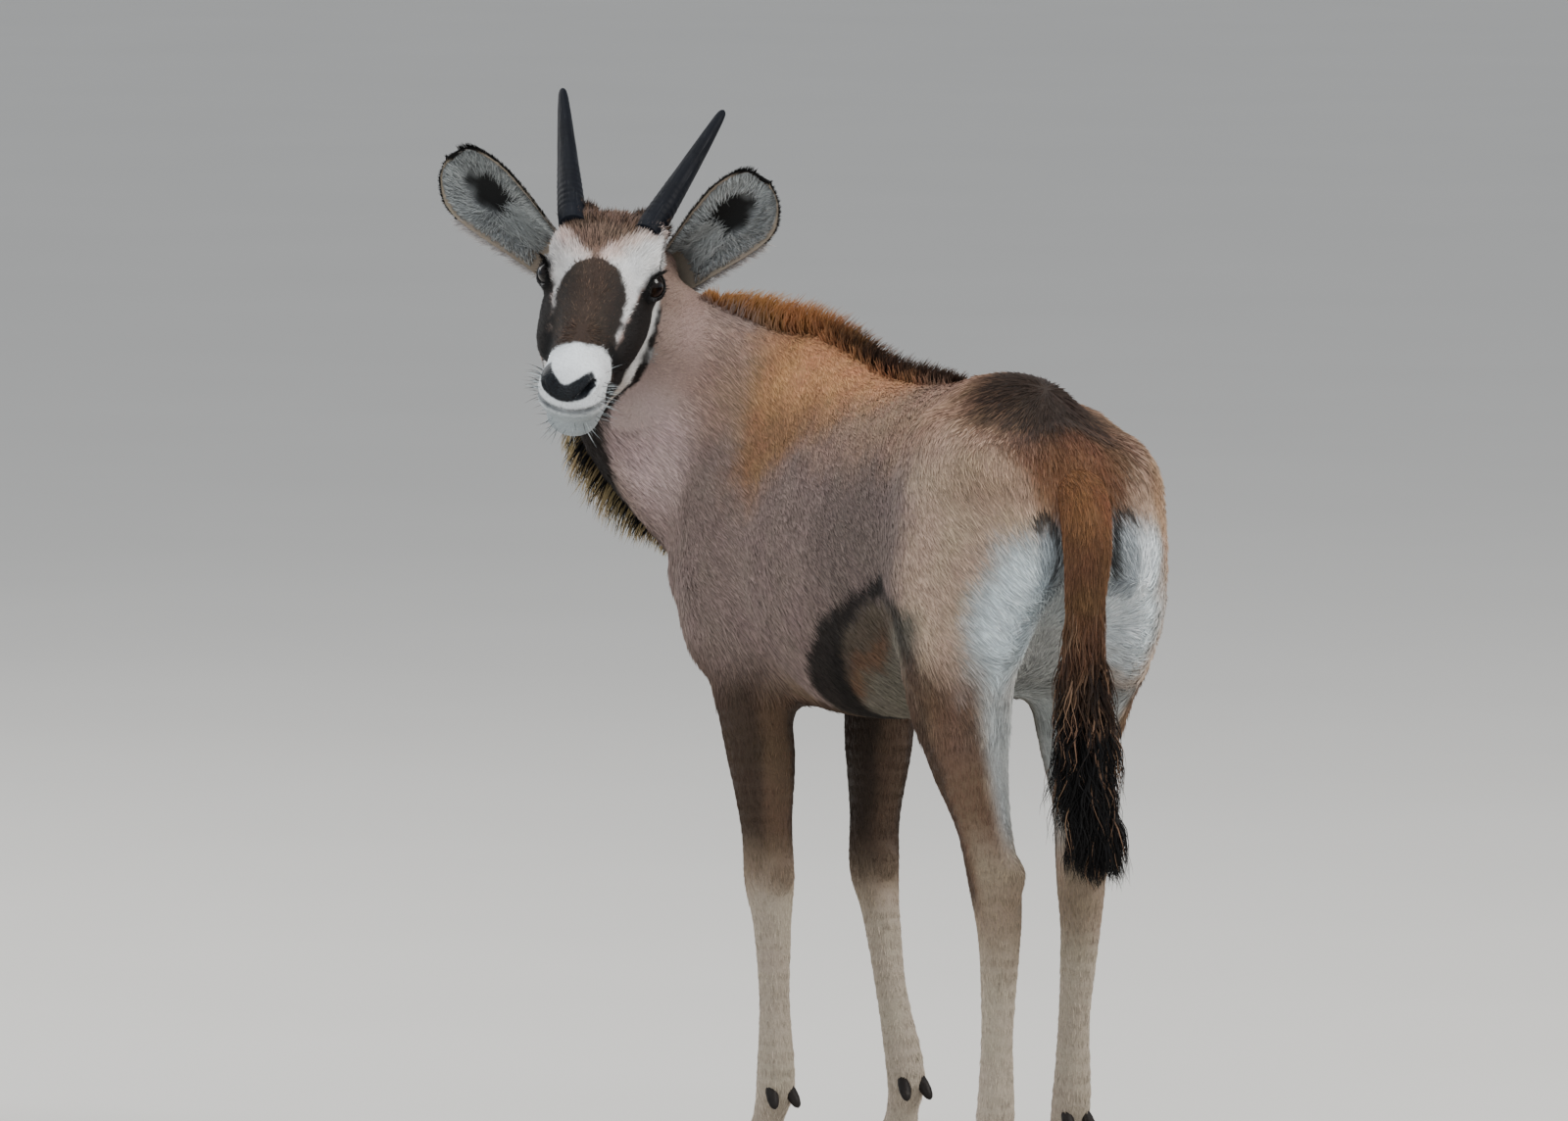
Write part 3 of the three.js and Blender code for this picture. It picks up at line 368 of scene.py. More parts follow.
def bodyField(p):
    first, second, third = trunk["blends"]
    d = blended(first, *[trunk[part](p) for part in ("spine", "neck", "nape")])
    d = blended(second, d, *[muscle(p) for muscle in trunk["muscles"]])
    return blended(third, d, *[leg(p) for leg in legs.values()])


def flesh(points):  # trunk, legs and head blended into one body
    d = bodyField(points)
    local = intoHead(points)
    middle, reach = head["field"]
    near = np.flatnonzero(np.linalg.norm(local - middle, axis=1) <= reach)
    soft = head["blends"][3] - 18 * ramp(local[near, 0], -60, 0)  # a crease parts the jaw from the neck
    d[near] = smoothMin(d[near], headField(local[near]), soft)
    return d


def slopeOf(field, points, reach=0.5):  # the field and its gradient
    d = field(points)
    return d, np.stack([(field(points + reach * axis) - d) / reach for axis in np.eye(3)], 1)


# The skin: the surface where a field is zero, on a lattice that is refined only near the surface. A cell that
# the surface crosses gets one vertex, at the mean of its edges' crossings, and each crossed lattice edge
# gets the quad of the four cells about it. A block within margin of its own size is refined.
def surfaceOf(field, low, high, step, coarsest=8, margin=2.8):
    shape = (np.ceil((np.array(high) - low) / step / coarsest).astype(int) + 1) * coarsest
    value = np.zeros(shape, np.float32)
    block = coarsest
    while block:
        coarse = value[::block, ::block, ::block]
        near = np.abs(coarse) < (np.inf if block == coarsest else margin * block * step)
        index = np.argwhere(near)
        coarse[near] = field(index * (block * step) + low)
        for axis in range(3):
            coarse = np.repeat(coarse, block, axis)
        value = coarse
        block //= 2

    inside = value < 0
    corners = np.array([(c & 1, c >> 1 & 1, c >> 2) for c in range(8)])
    cut = [slice(c, n - 1 + c) for n in value.shape for c in (0, 1)]
    views = [tuple(cut[2 * axis + c[axis]] for axis in range(3)) for c in corners]
    total = sum(inside[v].astype(np.int8) for v in views)
    cells = np.argwhere((total > 0) & (total < 8))
    number = np.full(total.shape, -1)
    number[tuple(cells.T)] = np.arange(len(cells))
    sums, hits = np.zeros((len(cells), 3)), np.zeros((len(cells), 1))
    for a in range(8):
        for axis in range(3):
            b = a | 1 << axis
            if a == b:
                continue
            va, vb = value[tuple((cells + corners[a]).T)], value[tuple((cells + corners[b]).T)]
            crossed = (va < 0) != (vb < 0)
            t = np.where(crossed, va / np.where(crossed, va - vb, 1), 0)[:, None]
            sums += np.where(crossed[:, None], corners[a] + t * (corners[b] - corners[a]), 0)
            hits += crossed[:, None]
    points = (cells + sums / hits) * step + low

    quads = []
    for axis in range(3):
        u, w = np.eye(3, dtype=int)[[(axis + 1) % 3, (axis + 2) % 3]]
        head, tail = [[slice(None)] * 3 for _ in range(2)]
        head[axis], tail[axis] = slice(0, -1), slice(1, None)
        a, b = inside[tuple(head)], inside[tuple(tail)]
        edges = np.argwhere(a != b)
        outward = a[tuple(edges.T)]
        ring = np.stack([number[tuple((edges - d).T)] for d in (u + w, w, 0 * u, u)], 1)
        quads.append(np.where(outward[:, None], ring, ring[:, ::-1]))
    return points, np.concatenate(quads)


def settled(field, points, passes=2, reach=3.0):  # points moved along the gradient onto the surface
    for _ in range(passes):
        d, g = slopeOf(field, points)
        move = np.clip(-d / np.maximum((g * g).sum(1), 0.04), -reach, reach)
        points = points + move[:, None] * g
    return points


# Markings. Each tone is linear light, and each mask is a smooth function of the place on the body.
def linear(code):  # an sRGB hex code as linear light
    c = np.array([int(code[i:i + 2], 16) for i in (0, 2, 4)]) / 255
    return np.where(c <= 0.04045, c / 12.92, ((c + 0.055) / 1.055) ** 2.4)


# Among these tones, the pale pink on the chest is painted light. The belly's dark grey-brown white, the
# grey-blue in the folds beside the tail, the grey under the chin and the greyed white on the face's right
# side are painted shade.
tones = {name: linear(code) for name, code in {
    "taupe": "7a6962", "slate": "62554f", "rose": "978279", "litBlush": "c2aca8", "ochre": "86613f",
    "gold": "b5855f", "sand": "a8927f", "loam": "8e7460", "tan": "94765f", "earth": "5c4434",
    "umber": "2c221c", "rust": "6e4a31", "white": "ccd5d8", "chalk": "a9adac", "shadedBellyWhite": "5f594e",
    "mole": "4e4338", "foldShade": "6d7880", "ink": "1d1916", "black": "0b0a0a", "bark": "5c4838",
    "dusk": "877765", "pale": "a39787", "crown": "6e584a", "streak": "4c392c", "nose": "1f2429",
    "mouth": "33383c", "peach": "b58f7b", "snow": "e6eaec", "face": "d0cfcd", "shade": "a9a4a1",
    "chin": "8e989c", "earGrey": "8d9192", "maneRust": "6e4325", "maneGold": "be8a5a",
    "maneBlack": "1c1410", "maneBrown": "3f2c20", "fringe": "a9966f", "tailBrown": "5e4330",
    "tuftBrown": "6b5341",
}.items()}


# a smooth wave of about that size: the mean of four sines along fixed headings
def ripple(p, size, seed=0):
    turns = np.array([(1, .3, -.5), (-.4, 1, .6), (.5, -.7, 1), (-.9, -.5, -.3)])
    phases = np.array([0.3, 1.9, 4.1, 5.3]) + 1.7 * seed
    return np.sin(p @ turns.T * (2 * np.pi / size) + phases).mean(1)


def band(value, low, high, soft):  # 1 between low and high, with soft shoulders
    return ramp(value, low - soft, low + soft) * (1 - ramp(value, high - soft, high + soft))


def lineDistance(p, path):  # distance to a polyline, and the nearest place along it in points
    path = np.array(path, float)
    best, along = np.full(len(p), 1e9), np.zeros(len(p))
    for i in range(len(path) - 1):
        d = path[i + 1] - path[i]
        t = np.clip((p - path[i]) @ d / (d @ d), 0, 1)
        size = np.linalg.norm(p - path[i] - t[:, None] * d, axis=1)
        along = np.where(size < best, i + t, along)
        best = np.minimum(best, size)
    return best, along


def over(colour, tone, mask):  # the tone laid over the colour by the mask
    return colour + (tones[tone] - colour) * mask[..., None]


def painted(colour, marks):  # a run of tones and masks laid over the colour in turn
    for tone, mask in marks:
        colour = over(colour, tone, mask)
    return colour


bodyMarks = {
    "whorl": np.array([-223, -6, 797.0]),
    "tailSide": 7.5,  # sideways place of the tail's root
    "foldShade": [(52, 682), (46, 691), (38, 688), (32, 672), (30, 650), (30, 632)],  # distance aside and height
    "crest": [(248, 14, 830), (215, 4, 824), (130, 0, 806), (40, 0, 795)],
    "flankStripe": [(-106, 608), (-66, 595), (-22, 570), (14, 545), (34, 522), (46, 502), (66, 488)],
    "flankHalf": (4, 7, 10, 16, 22, 24, 22),
    "haunchStreak": [(-104, 606), (-146, 590), (-166, 552), (-198, 524), (-232, 512)],
    "throat": [
        (425, 150, 742), (436, 136, 704), (438, 114, 664), (428, 90, 628), (416, 70, 592), (380, 40, 560)],
    "throatReach": [34, 42, 22, 12, 6, 2],
    "shoulderLow": [(60, 120, 190, 240), (742, 705, 668, 690)],  # lower edge of the ochre, height by place
    "tanLine": [(483, 499, 519, 540, 560), (34, 20, 8, -5, -19)],  # front of the brown patch, place by height
    "legLine": [(440, 457, 482, 505, 535), (50, 84, 102, 118, 140)],  # back of the foreleg's dark top
}


# for each point: forward and outward distance from the middle of the nearest leg, and 1 for a hind leg
def legFrame(p):
    forward, outward, hind = np.full(len(p), 1e9), np.zeros(len(p)), np.zeros(len(p))
    for name in strides:
        path = np.array(legPath(name))[::-1]
        x, y = [np.interp(p[:, 2], path[:, 2], path[:, k]) for k in (0, 1)]
        nearer = np.hypot(p[:, 0] - x, p[:, 1] - y) < np.hypot(forward, outward)
        forward = np.where(nearer, p[:, 0] - x, forward)
        outward = np.where(nearer, (p[:, 1] - y) * handOf(name), outward)
        hind = np.where(nearer, name.startswith("hind"), hind)
    return forward, outward, hind


def trunkTones(p, n, wave):  # slate barrel, rosy chest, ochre shoulder, golden withers and sandy haunch
    x, z = p[:, 0], p[:, 2]
    slow = ripple(p, 210, 2)
    yield "slate", 0.8 * ramp(1 - np.hypot((x + 70) / 150, (z - 650) / 130) + 0.12 * slow, 0, 0.7)
    yield "tan", 0.7 * ramp(z + wave + 14 * slow, 690, 770)
    yield "rose", 0.85 * ramp(x + wave + 0.35 * (z - 700), 262, 350) * ramp(z, 590, 680)
    chest = 1 - np.hypot((x - 350) / 72, (z - 715) / 96) + 0.004 * wave
    # painted light: a paler pink on the chest where it faces the animal's left
    yield "litBlush", 0.85 * ramp(chest, 0, 0.7) * ramp(n[:, 1], 0, .6)
    yield "bark", 0.35 * ramp(x, 290, 325) * ramp(z - 0.5 * (x - 300) + 0.4 * wave, 818, 838)
    front = 246 - 0.1 * (760 - z) - x + wave
    lower = z - np.interp(x, *bodyMarks["shoulderLow"]) + 1.4 * wave
    shoulder = ramp(front, -14, 40) * ramp(lower, -34, 34) * ramp(x + 0.9 * (z - 740) + wave, 40, 150)
    yield "ochre", 0.8 * shoulder
    yield "gold", 0.85 * ramp(z + 0.12 * (x - 110) + wave, 738, 796) * band(x + wave, -10, 228, 30)
    crest, _ = lineDistance(p, bodyMarks["crest"])
    yield "gold", 0.55 * (1 - ramp(crest + 1.2 * wave, 10, 64))
    rear = -x + wave
    yield "sand", ramp(rear - 0.2 * (z - 640), 138, 205)
    yield "loam", 0.6 * ramp(rear + 0.6 * (z - 700), 190, 300) * ramp(z, 660, 720)


def rumpTones(p, wave, grain):  # pale seat, dark flecked croup, rust above the tail, and the folds beside it
    x, y, z = p.T
    aside = np.abs(y - bodyMarks["tailSide"])
    edge = -268 - 0.42 * np.maximum(z - 590, 0) - x - 0.25 * np.maximum(46 - aside, 0)
    seat = ramp(edge + 1.2 * wave, -20, 26) * ramp(z + wave, 440, 500)
    seat = seat * (1 - ramp(z + 0.5 * wave + 0.2 * np.abs(y), 672, 708))
    yield "chalk", 0.85 * (1 - ramp(aside + 0.4 * wave, 34, 62)) * ramp(-x, 110, 190) * band(z, 430, 660, 20)
    yield "chalk", seat
    # painted light: a brighter white in the middle of each buttock, leaving the seat greyer at its edges and
    # towards the tail, and the right buttock brighter still
    yield "white", seat * ramp(1 - np.hypot((z - 590) / 90, (aside - 66) / 42), 0, 0.5)
    yield "snow", 0.6 * seat * band(-y + 0.5 * wave, 26, 72, 10)
    yield "ochre", 0.55 * ramp(-y + 0.5 * wave, 70, 88) * ramp(-x, 250, 300) * ramp(z, 560, 640)
    patch = np.hypot((x + 222) / 104, (y + 6) / 86) + 0.010 * wave + 0.05 * ripple(p, 13, 6)
    flecked = ramp(grain, 0.62, 0.72)
    yield "earth", 0.92 * (1 - ramp(patch + 0.2 * flecked, 0.84, 1.22)) * ramp(z, 640, 700)
    yield "umber", 0.97 * (1 - ramp(patch + 0.22 * flecked, 0.46, 0.96)) * ramp(z, 690, 740)
    down = ramp(-x + 0.4 * wave, 262, 306) * ramp(z, 650, 690)
    yield "rust", 0.75 * down * (1 - ramp(aside + 0.6 * wave, 22 + 0.3 * (z - 690), 50 + 0.5 * (z - 690)))
    crease, _ = lineDistance(np.stack([aside, z], 1), bodyMarks["foldShade"])
    rearward = ramp(-x, 296, 312)
    # painted shade: grey-blue in the folds beside the tail, and a dark line along each crease
    yield "foldShade", 0.55 * (rearward * band(aside, 24, 54, 6) * band(z, 600, 684, 14))
    yield "ink", 0.8 * rearward * (1 - ramp(crease + 0.2 * wave, 1.5, 6.5))


def flankTones(p, wave):  # belly, brown patch, black stripe along the flank and streak over the haunch
    x, y, z = p.T
    a, sideways = np.abs(y), p[:, [0, 2]]
    under = np.interp(x, *np.array(bodyMarks["flankStripe"]).T) - z
    belly = ramp(under + wave, 4, 24) * band(x, -200, 170, 20) * ramp(z, 400, 440)
    paler = 500 - 0.55 * x - z + 0.8 * wave
    # painted shade: the white belly laid as a dark grey-brown, as it lies in shade under the body
    yield "shadedBellyWhite", belly
    yield "mole", 0.95 * belly * (1 - ramp(paler, -8, 10))
    yield "rust", 0.4 * belly * band(paler, -16, 2, 7) * band(x, -90, 40, 16)
    yield "ink", 0.97 * belly * ramp(x - np.interp(z, *bodyMarks["tanLine"]) + 0.6 * wave, -7, 7)
    stripe, at = lineDistance(sideways, bodyMarks["flankStripe"])
    reach = np.interp(at, range(7), bodyMarks["flankHalf"])
    yield "ink", 0.96 * ramp(a, 20, 46) * (1 - ramp(stripe + 0.5 * wave, reach - 5, reach + 10))
    streak, at = lineDistance(sideways, bodyMarks["haunchStreak"])
    yield "ink", 0.7 * ramp(a, 30, 60) * (1 - ramp(streak + 0.7 * wave, 2 + 1.5 * at, 14 + 3 * at))


def legTones(p, wave):  # dark upper legs, white inside the thighs, and pale lower legs with dark shins
    x, y, z = p.T
    forward, outward, hind = legFrame(p)
    fore = (1 - hind) * ramp(x - np.interp(z, *bodyMarks["legLine"]), -3, 8)
    low = 1 - ramp(z + wave, 455, 545)
    yield "bark", fore * 0.95 * low
    strip = ramp(-forward + 0.5 * wave, 10, 26) * (1 - ramp(np.abs(outward) + 0.4 * wave, 9, 20))
    yield "ink", fore * 0.62 * low * (1 - strip) * (1 - 0.5 * ramp(-z, -350, -320))
    # painted shade: black deepened over the right foreleg
    yield "black", 0.45 * fore * low * (y < 0)
    lower = z + 0.8 * wave + 24 * (y < 0)
    yield "dusk", fore * (1 - ramp(lower, 286, 352))
    yield "pale", fore * (1 - ramp(lower, 268, 318))
    back = hind * ramp(-x, 112, 150)
    thigh = (1 - ramp(z + wave, 486, 540)) * back
    outer = ramp(outward + 0.5 * forward + 0.6 * wave, -25, -3)
    yield "chalk", 0.9 * thigh * ramp(-outward - 0.3 * forward + 0.4 * wave, -4, 16) * ramp(z, 330, 400)
    yield "earth", 0.9 * (1 - ramp(z + wave, 496, 572)) * back * outer
    yield "ink", 0.6 * thigh * outer * ramp(forward + wave, -10, 16)
    lower = z + 0.8 * wave
    yield "dusk", back * (1 - ramp(lower, 350, 410)) * ramp(-forward - 0.3 * wave, 0, 16)
    yield "dusk", back * (1 - ramp(lower, 304, 346))
    yield "pale", back * (1 - ramp(lower, 226, 310))
    yield "bark", 0.75 * ((1 - ramp(z + wave, 176, 236)) * ramp(z, 84, 120) * ramp(forward, 4, 13))
    yield "bark", 0.5 * (1 - ramp(z, 40, 58)) * ramp(z, 20, 36)


def throatTones(p, wave):  # a black line down the throat, as wide as it is given at each of its points
    throat, at = lineDistance(p, bodyMarks["throat"])
    reach = np.interp(at, range(6), bodyMarks["throatReach"])
    yield "ink", 0.97 * (1 - ramp(throat + 0.5 * wave, reach - 8, reach + 8))


# Taupe under each mark in turn: colour + (tone - colour) * mask, where a mask is a product of ramps of the
# place, with a wave that roughens its edge. The grain, a random number for each hair, flecks some patches.
def bodyColour(p, n, grain):
    wave = 9 * ripple(p, 70) + 5 * ripple(p, 23, 1) + 3 * ripple(p, 9, 4)
    colour = np.tile(tones["taupe"], (len(p), 1))
    for marks in (trunkTones(p, n, wave), rumpTones(p, wave, grain), flankTones(p, wave), legTones(p, wave),
                  throatTones(p, wave)):
        colour = painted(colour, marks)
    return colour


faceMarks = {
    # sideways place of the face's middle line
    "lean": [(-30, 5, 30, 60, 120, 170), (-9, -8, -4, -2, -4, -5)],
    "blazeHalf": [(20, 22, 24, 26, 29, 33, 39, 47, 56, 70, 85, 96, 106),
                  (0, 7, 16, 22, 26, 30, 33, 34.5, 35, 35, 34, 36, 60)],
    "crownHalf": [(-64, -50, -40, -26, -17, -5, 5, 14, 23), (58, 50, 42, 33, 28, 20, 12, 6, 0)],
    "bandEdge": [(-62, -44, -24, -8, 8, 22, 30, 37, 50, 66, 79, 88, 94, 99),
                 (10, 2, 0, 6, 12, 13, 8, 0, -4, -9, -15, -20, -23, 20)],
    "jawLine": [
        (-10, -6), (-3, -10), (6, -15), (13, -21), (24, -31), (35, -44), (40, -54), (44, -64), (50, -70),
        (61, -74), (72, -78), (86, -81), (98, -83), (116, -80)],
    "jawLineHalf": [0.5, 1.0, 1.6, 2.0, 2.6, 3.3, 3.6, 4.0, 4.6, 5.2, 5.4, 5.2, 4.6, 3.6],
    "jawBack": [(-150, -107, -84, -76, -67, -59, -47, -31, -15), (34, 39, 45, 42, 38, 34, 28, 17, 0)],
    "neckEdge": [(-197, -143, -130, -118, -107, -94, -84, -76, -69, -58, -43, -26, -10, 10),
                 (16, 20, 22, 25, 31, 40, 49, 52, 56, 59, 61, 61, 64, 70)],
    "noseTop": [(0, 4, 9, 14, 18, 23, 27, 31), (-27, -26, -23, -20.5, -18.5, -18, -21, -31)],
    "noseLow": [(0, 6, 11, 17, 21, 25, 28, 30), (-42.5, -42, -41, -39.5, -38, -35, -31, -28)],
    "mouth": [
        (118, 36, -63), (140, 36, -53), (155, 33, -48), (163, 28, -49.5), (171, 16, -51.5), (175, 0, -53)],
    "muzzleSide": [(-56, -48, -40, -34, -28, -22), (151, 152, 148, 141, 132, 118)],
    "temple": [(4, 2), (-14, 3), (-34, 12)],
}


def leanOf(x):
    return np.interp(x, *faceMarks["lean"])


def onFace(p, wave):  # 1 before the edge of the neck, 0 behind it
    y, z = p[:, 1], p[:, 2]
    behind = y + 0.5 * wave - np.interp(z, *faceMarks["neckEdge"])
    return (1 - ramp(behind, -1, 1.5)) * (1 - ramp(np.abs(y), 62, 70))


def maskTones(p, wave, grain):  # pale face with a dark crown and a blaze down its middle
    x, y, z = p.T
    b = np.abs(y - leanOf(x))
    front = ramp(x + 0.6 * (z + 10) + wave, -46, -30) * onFace(p, wave)
    front *= ramp(z - np.interp(x, *faceMarks["bandEdge"]) + 0.5 * wave, -2, 2)
    yield "face", front
    # painted shade: the face's white greyed over its right side
    yield "shade", 0.7 * front * ramp(-y, 14, 40)
    crown = np.interp(x, *faceMarks["crownHalf"]) - b + 1.8 * wave
    yield "peach", 0.7 * front * ramp(z + 2 * wave, 16, 40) * ramp(crown, -30, -6)
    inCrown = ramp(crown, -5, 4) * ramp(z, -10, 10) * ramp(25 - x, 0, 3)
    yield "crown", 0.97 * inCrown
    yield "umber", 0.8 * inCrown * ramp(grain + 0.25 * ramp(-x, 0, 50), 0.62, 0.72)
    yield "umber", 0.9 * inCrown * (1 - ramp(np.hypot(x + 48, np.abs(y) - 38) + 2 * wave, 9, 19))
    blaze = np.interp(x, *faceMarks["blazeHalf"]) - b + 1.3 * wave
    blaze = ramp(blaze, -2, 3) * ramp(x, 18, 23) * ramp(z, -62, -40)
    yield "umber", 0.97 * blaze
    yield "ink", 0.75 * blaze
    yield "streak", 0.4 * blaze * ramp(1 - b / 34 + 0.1 * wave, 0, 0.9)
    yield "loam", 0.35 * blaze * ramp(1.3 - b / 30, 0, 0.9) * ramp(grain, 0.76, 0.84)


def cheekTones(p, wave):  # black band through the eye, black edge of the jaw, and the pale line between them
    x, y, z = p.T
    a, near, sideways = np.abs(y), onFace(p, wave), p[:, [0, 2]]
    side = ramp(a, 22, 30) * near
    lower = np.interp(x, *np.array(faceMarks["jawLine"]).T)
    cheek = ramp(np.interp(x, *faceMarks["bandEdge"]) - z + wave, -2, 2) * ramp(z - lower, -3, 1)
    yield "black", 0.98 * side * cheek * ramp(x, -14, -2)
    back = ramp(x + 0.8 * wave - np.interp(z, *faceMarks["jawBack"]), -2, 2)
    behind = np.where(y > 0, ramp(x, 4, 12), back) * ramp(lower - z, -6, 0)
    yield "black", 0.97 * near * behind * (1 - ramp(x, 108, 118))
    line, at = lineDistance(sideways, faceMarks["jawLine"])
    half = np.interp(at, range(14), faceMarks["jawLineHalf"])
    white = 0.95 * side * (1 - ramp(line + 0.4 * wave, half - 1.3, half + 1.3))
    yield "face", white
    yield "dusk", 0.6 * white * ramp(x, 46, 76)
    temple, _ = lineDistance(sideways, faceMarks["temple"])
    yield "black", 0.95 * ramp(a, 44, 50) * (1 - ramp(temple + wave, 4, 8))


def inNose(b, z, soft):  # 1 on the nose pad, between its upper and its lower edge
    upper = ramp(np.interp(b, *faceMarks["noseTop"]) - z, -soft, soft)
    return upper * ramp(z - np.interp(b, *faceMarks["noseLow"]), -soft, soft)


def muzzleTones(p, wave):  # white muzzle, grey chin, whisker dots, and dark nose, lips and rims of the eyes
    x, y, z = p.T
    a, b = np.abs(y), np.abs(y - leanOf(x))
    reach = 122 - 0.75 * np.maximum(b - 12, 0) + 1.2 * np.maximum(b - 32, 0) ** 1.5
    reach = np.maximum(reach, np.interp(z, *faceMarks["muzzleSide"]) * ramp(b, 32, 38))
    muzzle = ramp(x - reach + 1.2 * wave, -2.5, 2.5)
    yield "snow", muzzle
    chin = ramp(x + wave, 106, 113) * ramp(-z, 58, 68)
    yield "snow", chin
    # painted shade: grey-blue under the muzzle and the chin
    yield "chin", 0.8 * np.maximum(chin, muzzle) * ramp(-z + wave, 50, 62)
    dots = ramp(ripple(p, 5.2, 9), 0.38, 0.55) * band(b, 22, 40, 3) * band(z, -50, -30, 4)
    yield "mouth", 0.25 * muzzle * dots
    yield "nose", inNose(b, z, 1.2) * ramp(x, 138, 146)
    lips, _ = lineDistance(np.stack([x, a, z], 1), faceMarks["mouth"])
    yield "mouth", 0.9 * (1 - ramp(lips, 1.0, 5.5)) * ramp(x, 108, 122)
    for hand in (1, -1):
        yield "black", (1 - ramp(eyeAlmond(p, hand) + 0.5 * wave, 3.2, 6.2)) * (y * hand > 20)


def faceColour(p, grain, colour):  # the face's tones over the body's colour; p is in the head's own axes
    wave = 1.6 * ripple(p, 17) + 1.1 * ripple(p, 7, 1) + 1.2 * (grain - 0.5)
    for marks in (maskTones(p, wave, grain), cheekTones(p, wave), muzzleTones(p, wave)):
        colour = painted(colour, marks)
    return colour


def headShare(p):  # 1 on the head, fading to 0 over the neck behind it
    local = intoHead(p)
    x, z = local[:, 0], local[:, 2]
    size = np.linalg.norm((local - head["middle"]) / (1.4, 1, 1), axis=1)
    return local, ramp(x - 0.25 * (z + 40), -84, -58) * (1 - ramp(size, 96, 112))


# the body's colour, with the face's over it by the head's share
def coatColour(p, n, grain=None):
    grain = np.full(len(p), 0.5) if grain is None else grain
    local, share = headShare(p)
    colour = bodyColour(p, n, grain)
    near = np.flatnonzero(share > 0)
    face = faceColour(local[near], grain[near], colour[near])
    colour[near] += (face - colour[near]) * share[near][:, None]
    return np.clip(colour, 0.002, 1)


# Materials
def node(tree, kind, values=(), **settings):  # a node with its settings; a value that is a socket is linked
    made = tree.nodes.new("ShaderNode" + kind)
    for key, value in settings.items():
        setattr(made, key, value)
    for key, value in dict(values).items():
        if isinstance(value, bpy.types.NodeSocket):
            tree.links.new(value, made.inputs[key])
        else:
            made.inputs[key].default_value = value
    return made


def mixed(tree, factor, a, b):  # two colours mixed by a factor
    return node(tree, "Mix", {0: factor, 6: a, 7: b}, data_type="RGBA").outputs[2]


def spread(tree, value, low, high, start=0.0, end=1.0):  # a value carried from one range to another
    made = node(tree, "MapRange", {0: value, 1: low, 2: high, 3: start, 4: end})
    return made.outputs[0]


def sums(tree, operation, a, b):
    return node(tree, "Math", {0: a, 1: b}, operation=operation).outputs[0]


def startGroup(name, entries, exits):
    tree = bpy.data.node_groups.new(name, "ShaderNodeTree")
    for title, kind, value in entries:
        socket = tree.interface.new_socket(title, in_out="INPUT", socket_type="NodeSocket" + kind)
        if value is not None:
            socket.default_value = value
    for title, kind in exits:
        tree.interface.new_socket(title, in_out="OUTPUT", socket_type="NodeSocket" + kind)
    return tree, tree.nodes.new("NodeGroupInput"), tree.nodes.new("NodeGroupOutput")


def strandGroup():  # hair tone: broad mottle plus fine streaks, as a tint of the colour and a height
    tree, entry, leave = startGroup(
        "strands", [("Vector", "Vector", None), ("Color", "Color", (0.5, 0.5, 0.5, 1)),
                    ("Scale", "Float", 420.0), ("Depth", "Float", 0.3)],
        [("Color", "Color"), ("Height", "Float")])
    where, depth = entry.outputs["Vector"], entry.outputs["Depth"]
    broad = node(tree, "TexNoise", {"Vector": where, "Scale": 26.0, "Detail": 3.0})
    fine = node(tree, "TexNoise", {"Vector": where, "Scale": entry.outputs["Scale"], "Detail": 2.0})
    streaks = sums(tree, "MULTIPLY", fine.outputs["Fac"], sums(tree, "MULTIPLY", depth, 2.0))
    shade = sums(tree, "ADD", sums(tree, "SUBTRACT", 1.0, depth), streaks)
    tint = node(tree, "HueSaturation", {"Hue": spread(tree, broad.outputs["Fac"], 0.3, 0.7, 0.49, 0.51),
                                        "Value": shade, "Color": entry.outputs["Color"]})
    tree.links.new(tint.outputs["Color"], leave.inputs["Color"])
    tree.links.new(fine.outputs["Fac"], leave.inputs["Height"])
    return tree


def keratinGroup():  # horn: long flakes, and rings across them, as a mask of pale flecks and a height
    tree, entry, leave = startGroup(
        "keratin", [("Along", "Vector", None), ("Flakes", "Float", 60.0), ("Rings", "Float", 24.0)],
        [("Flecks", "Float"), ("Height", "Float")])
    longWays = node(tree, "Mapping", {"Vector": entry.outputs["Along"], "Scale": (1.0, 1.0, 0.09)})
    flakes = node(tree, "TexNoise", {"Vector": longWays.outputs[0], "Scale": entry.outputs["Flakes"],
                                     "Detail": 5.0, "Roughness": 0.65})
    acrossWays = node(tree, "Mapping", {"Vector": entry.outputs["Along"], "Scale": (0.05, 0.05, 1.0)})
    rings = node(tree, "TexNoise", {"Vector": acrossWays.outputs[0], "Scale": entry.outputs["Rings"],
                                    "Detail": 2.0})
    height = sums(tree, "ADD", flakes.outputs["Fac"], sums(tree, "MULTIPLY", rings.outputs["Fac"], 0.8))
    tree.links.new(spread(tree, flakes.outputs["Fac"], 0.6, 0.78), leave.inputs["Flecks"])
    tree.links.new(height, leave.inputs["Height"])
    return tree


strands, keratin = strandGroup(), keratinGroup()


def startMaterial(name, constants):
    made = bpy.data.materials.new(name)
    made.use_nodes = True
    shader = made.node_tree.nodes["Principled BSDF"]
    for key, value in constants.items():
        shader.inputs[key].default_value = value
    return made, made.node_tree, shader


def attribute(tree, name, output="Fac"):
    return node(tree, "Attribute", attribute_name=name).outputs[output]


def dressed(tree, shader, colour, rough, bump=None):  # bump: height, strength and distance
    tree.links.new(colour, shader.inputs["Base Color"])
    tree.links.new(rough, shader.inputs["Roughness"])
    if bump:
        lifted = node(tree, "Bump", dict(zip(("Height", "Strength", "Distance"), bump)))
        tree.links.new(lifted.outputs[0], shader.inputs["Normal"])


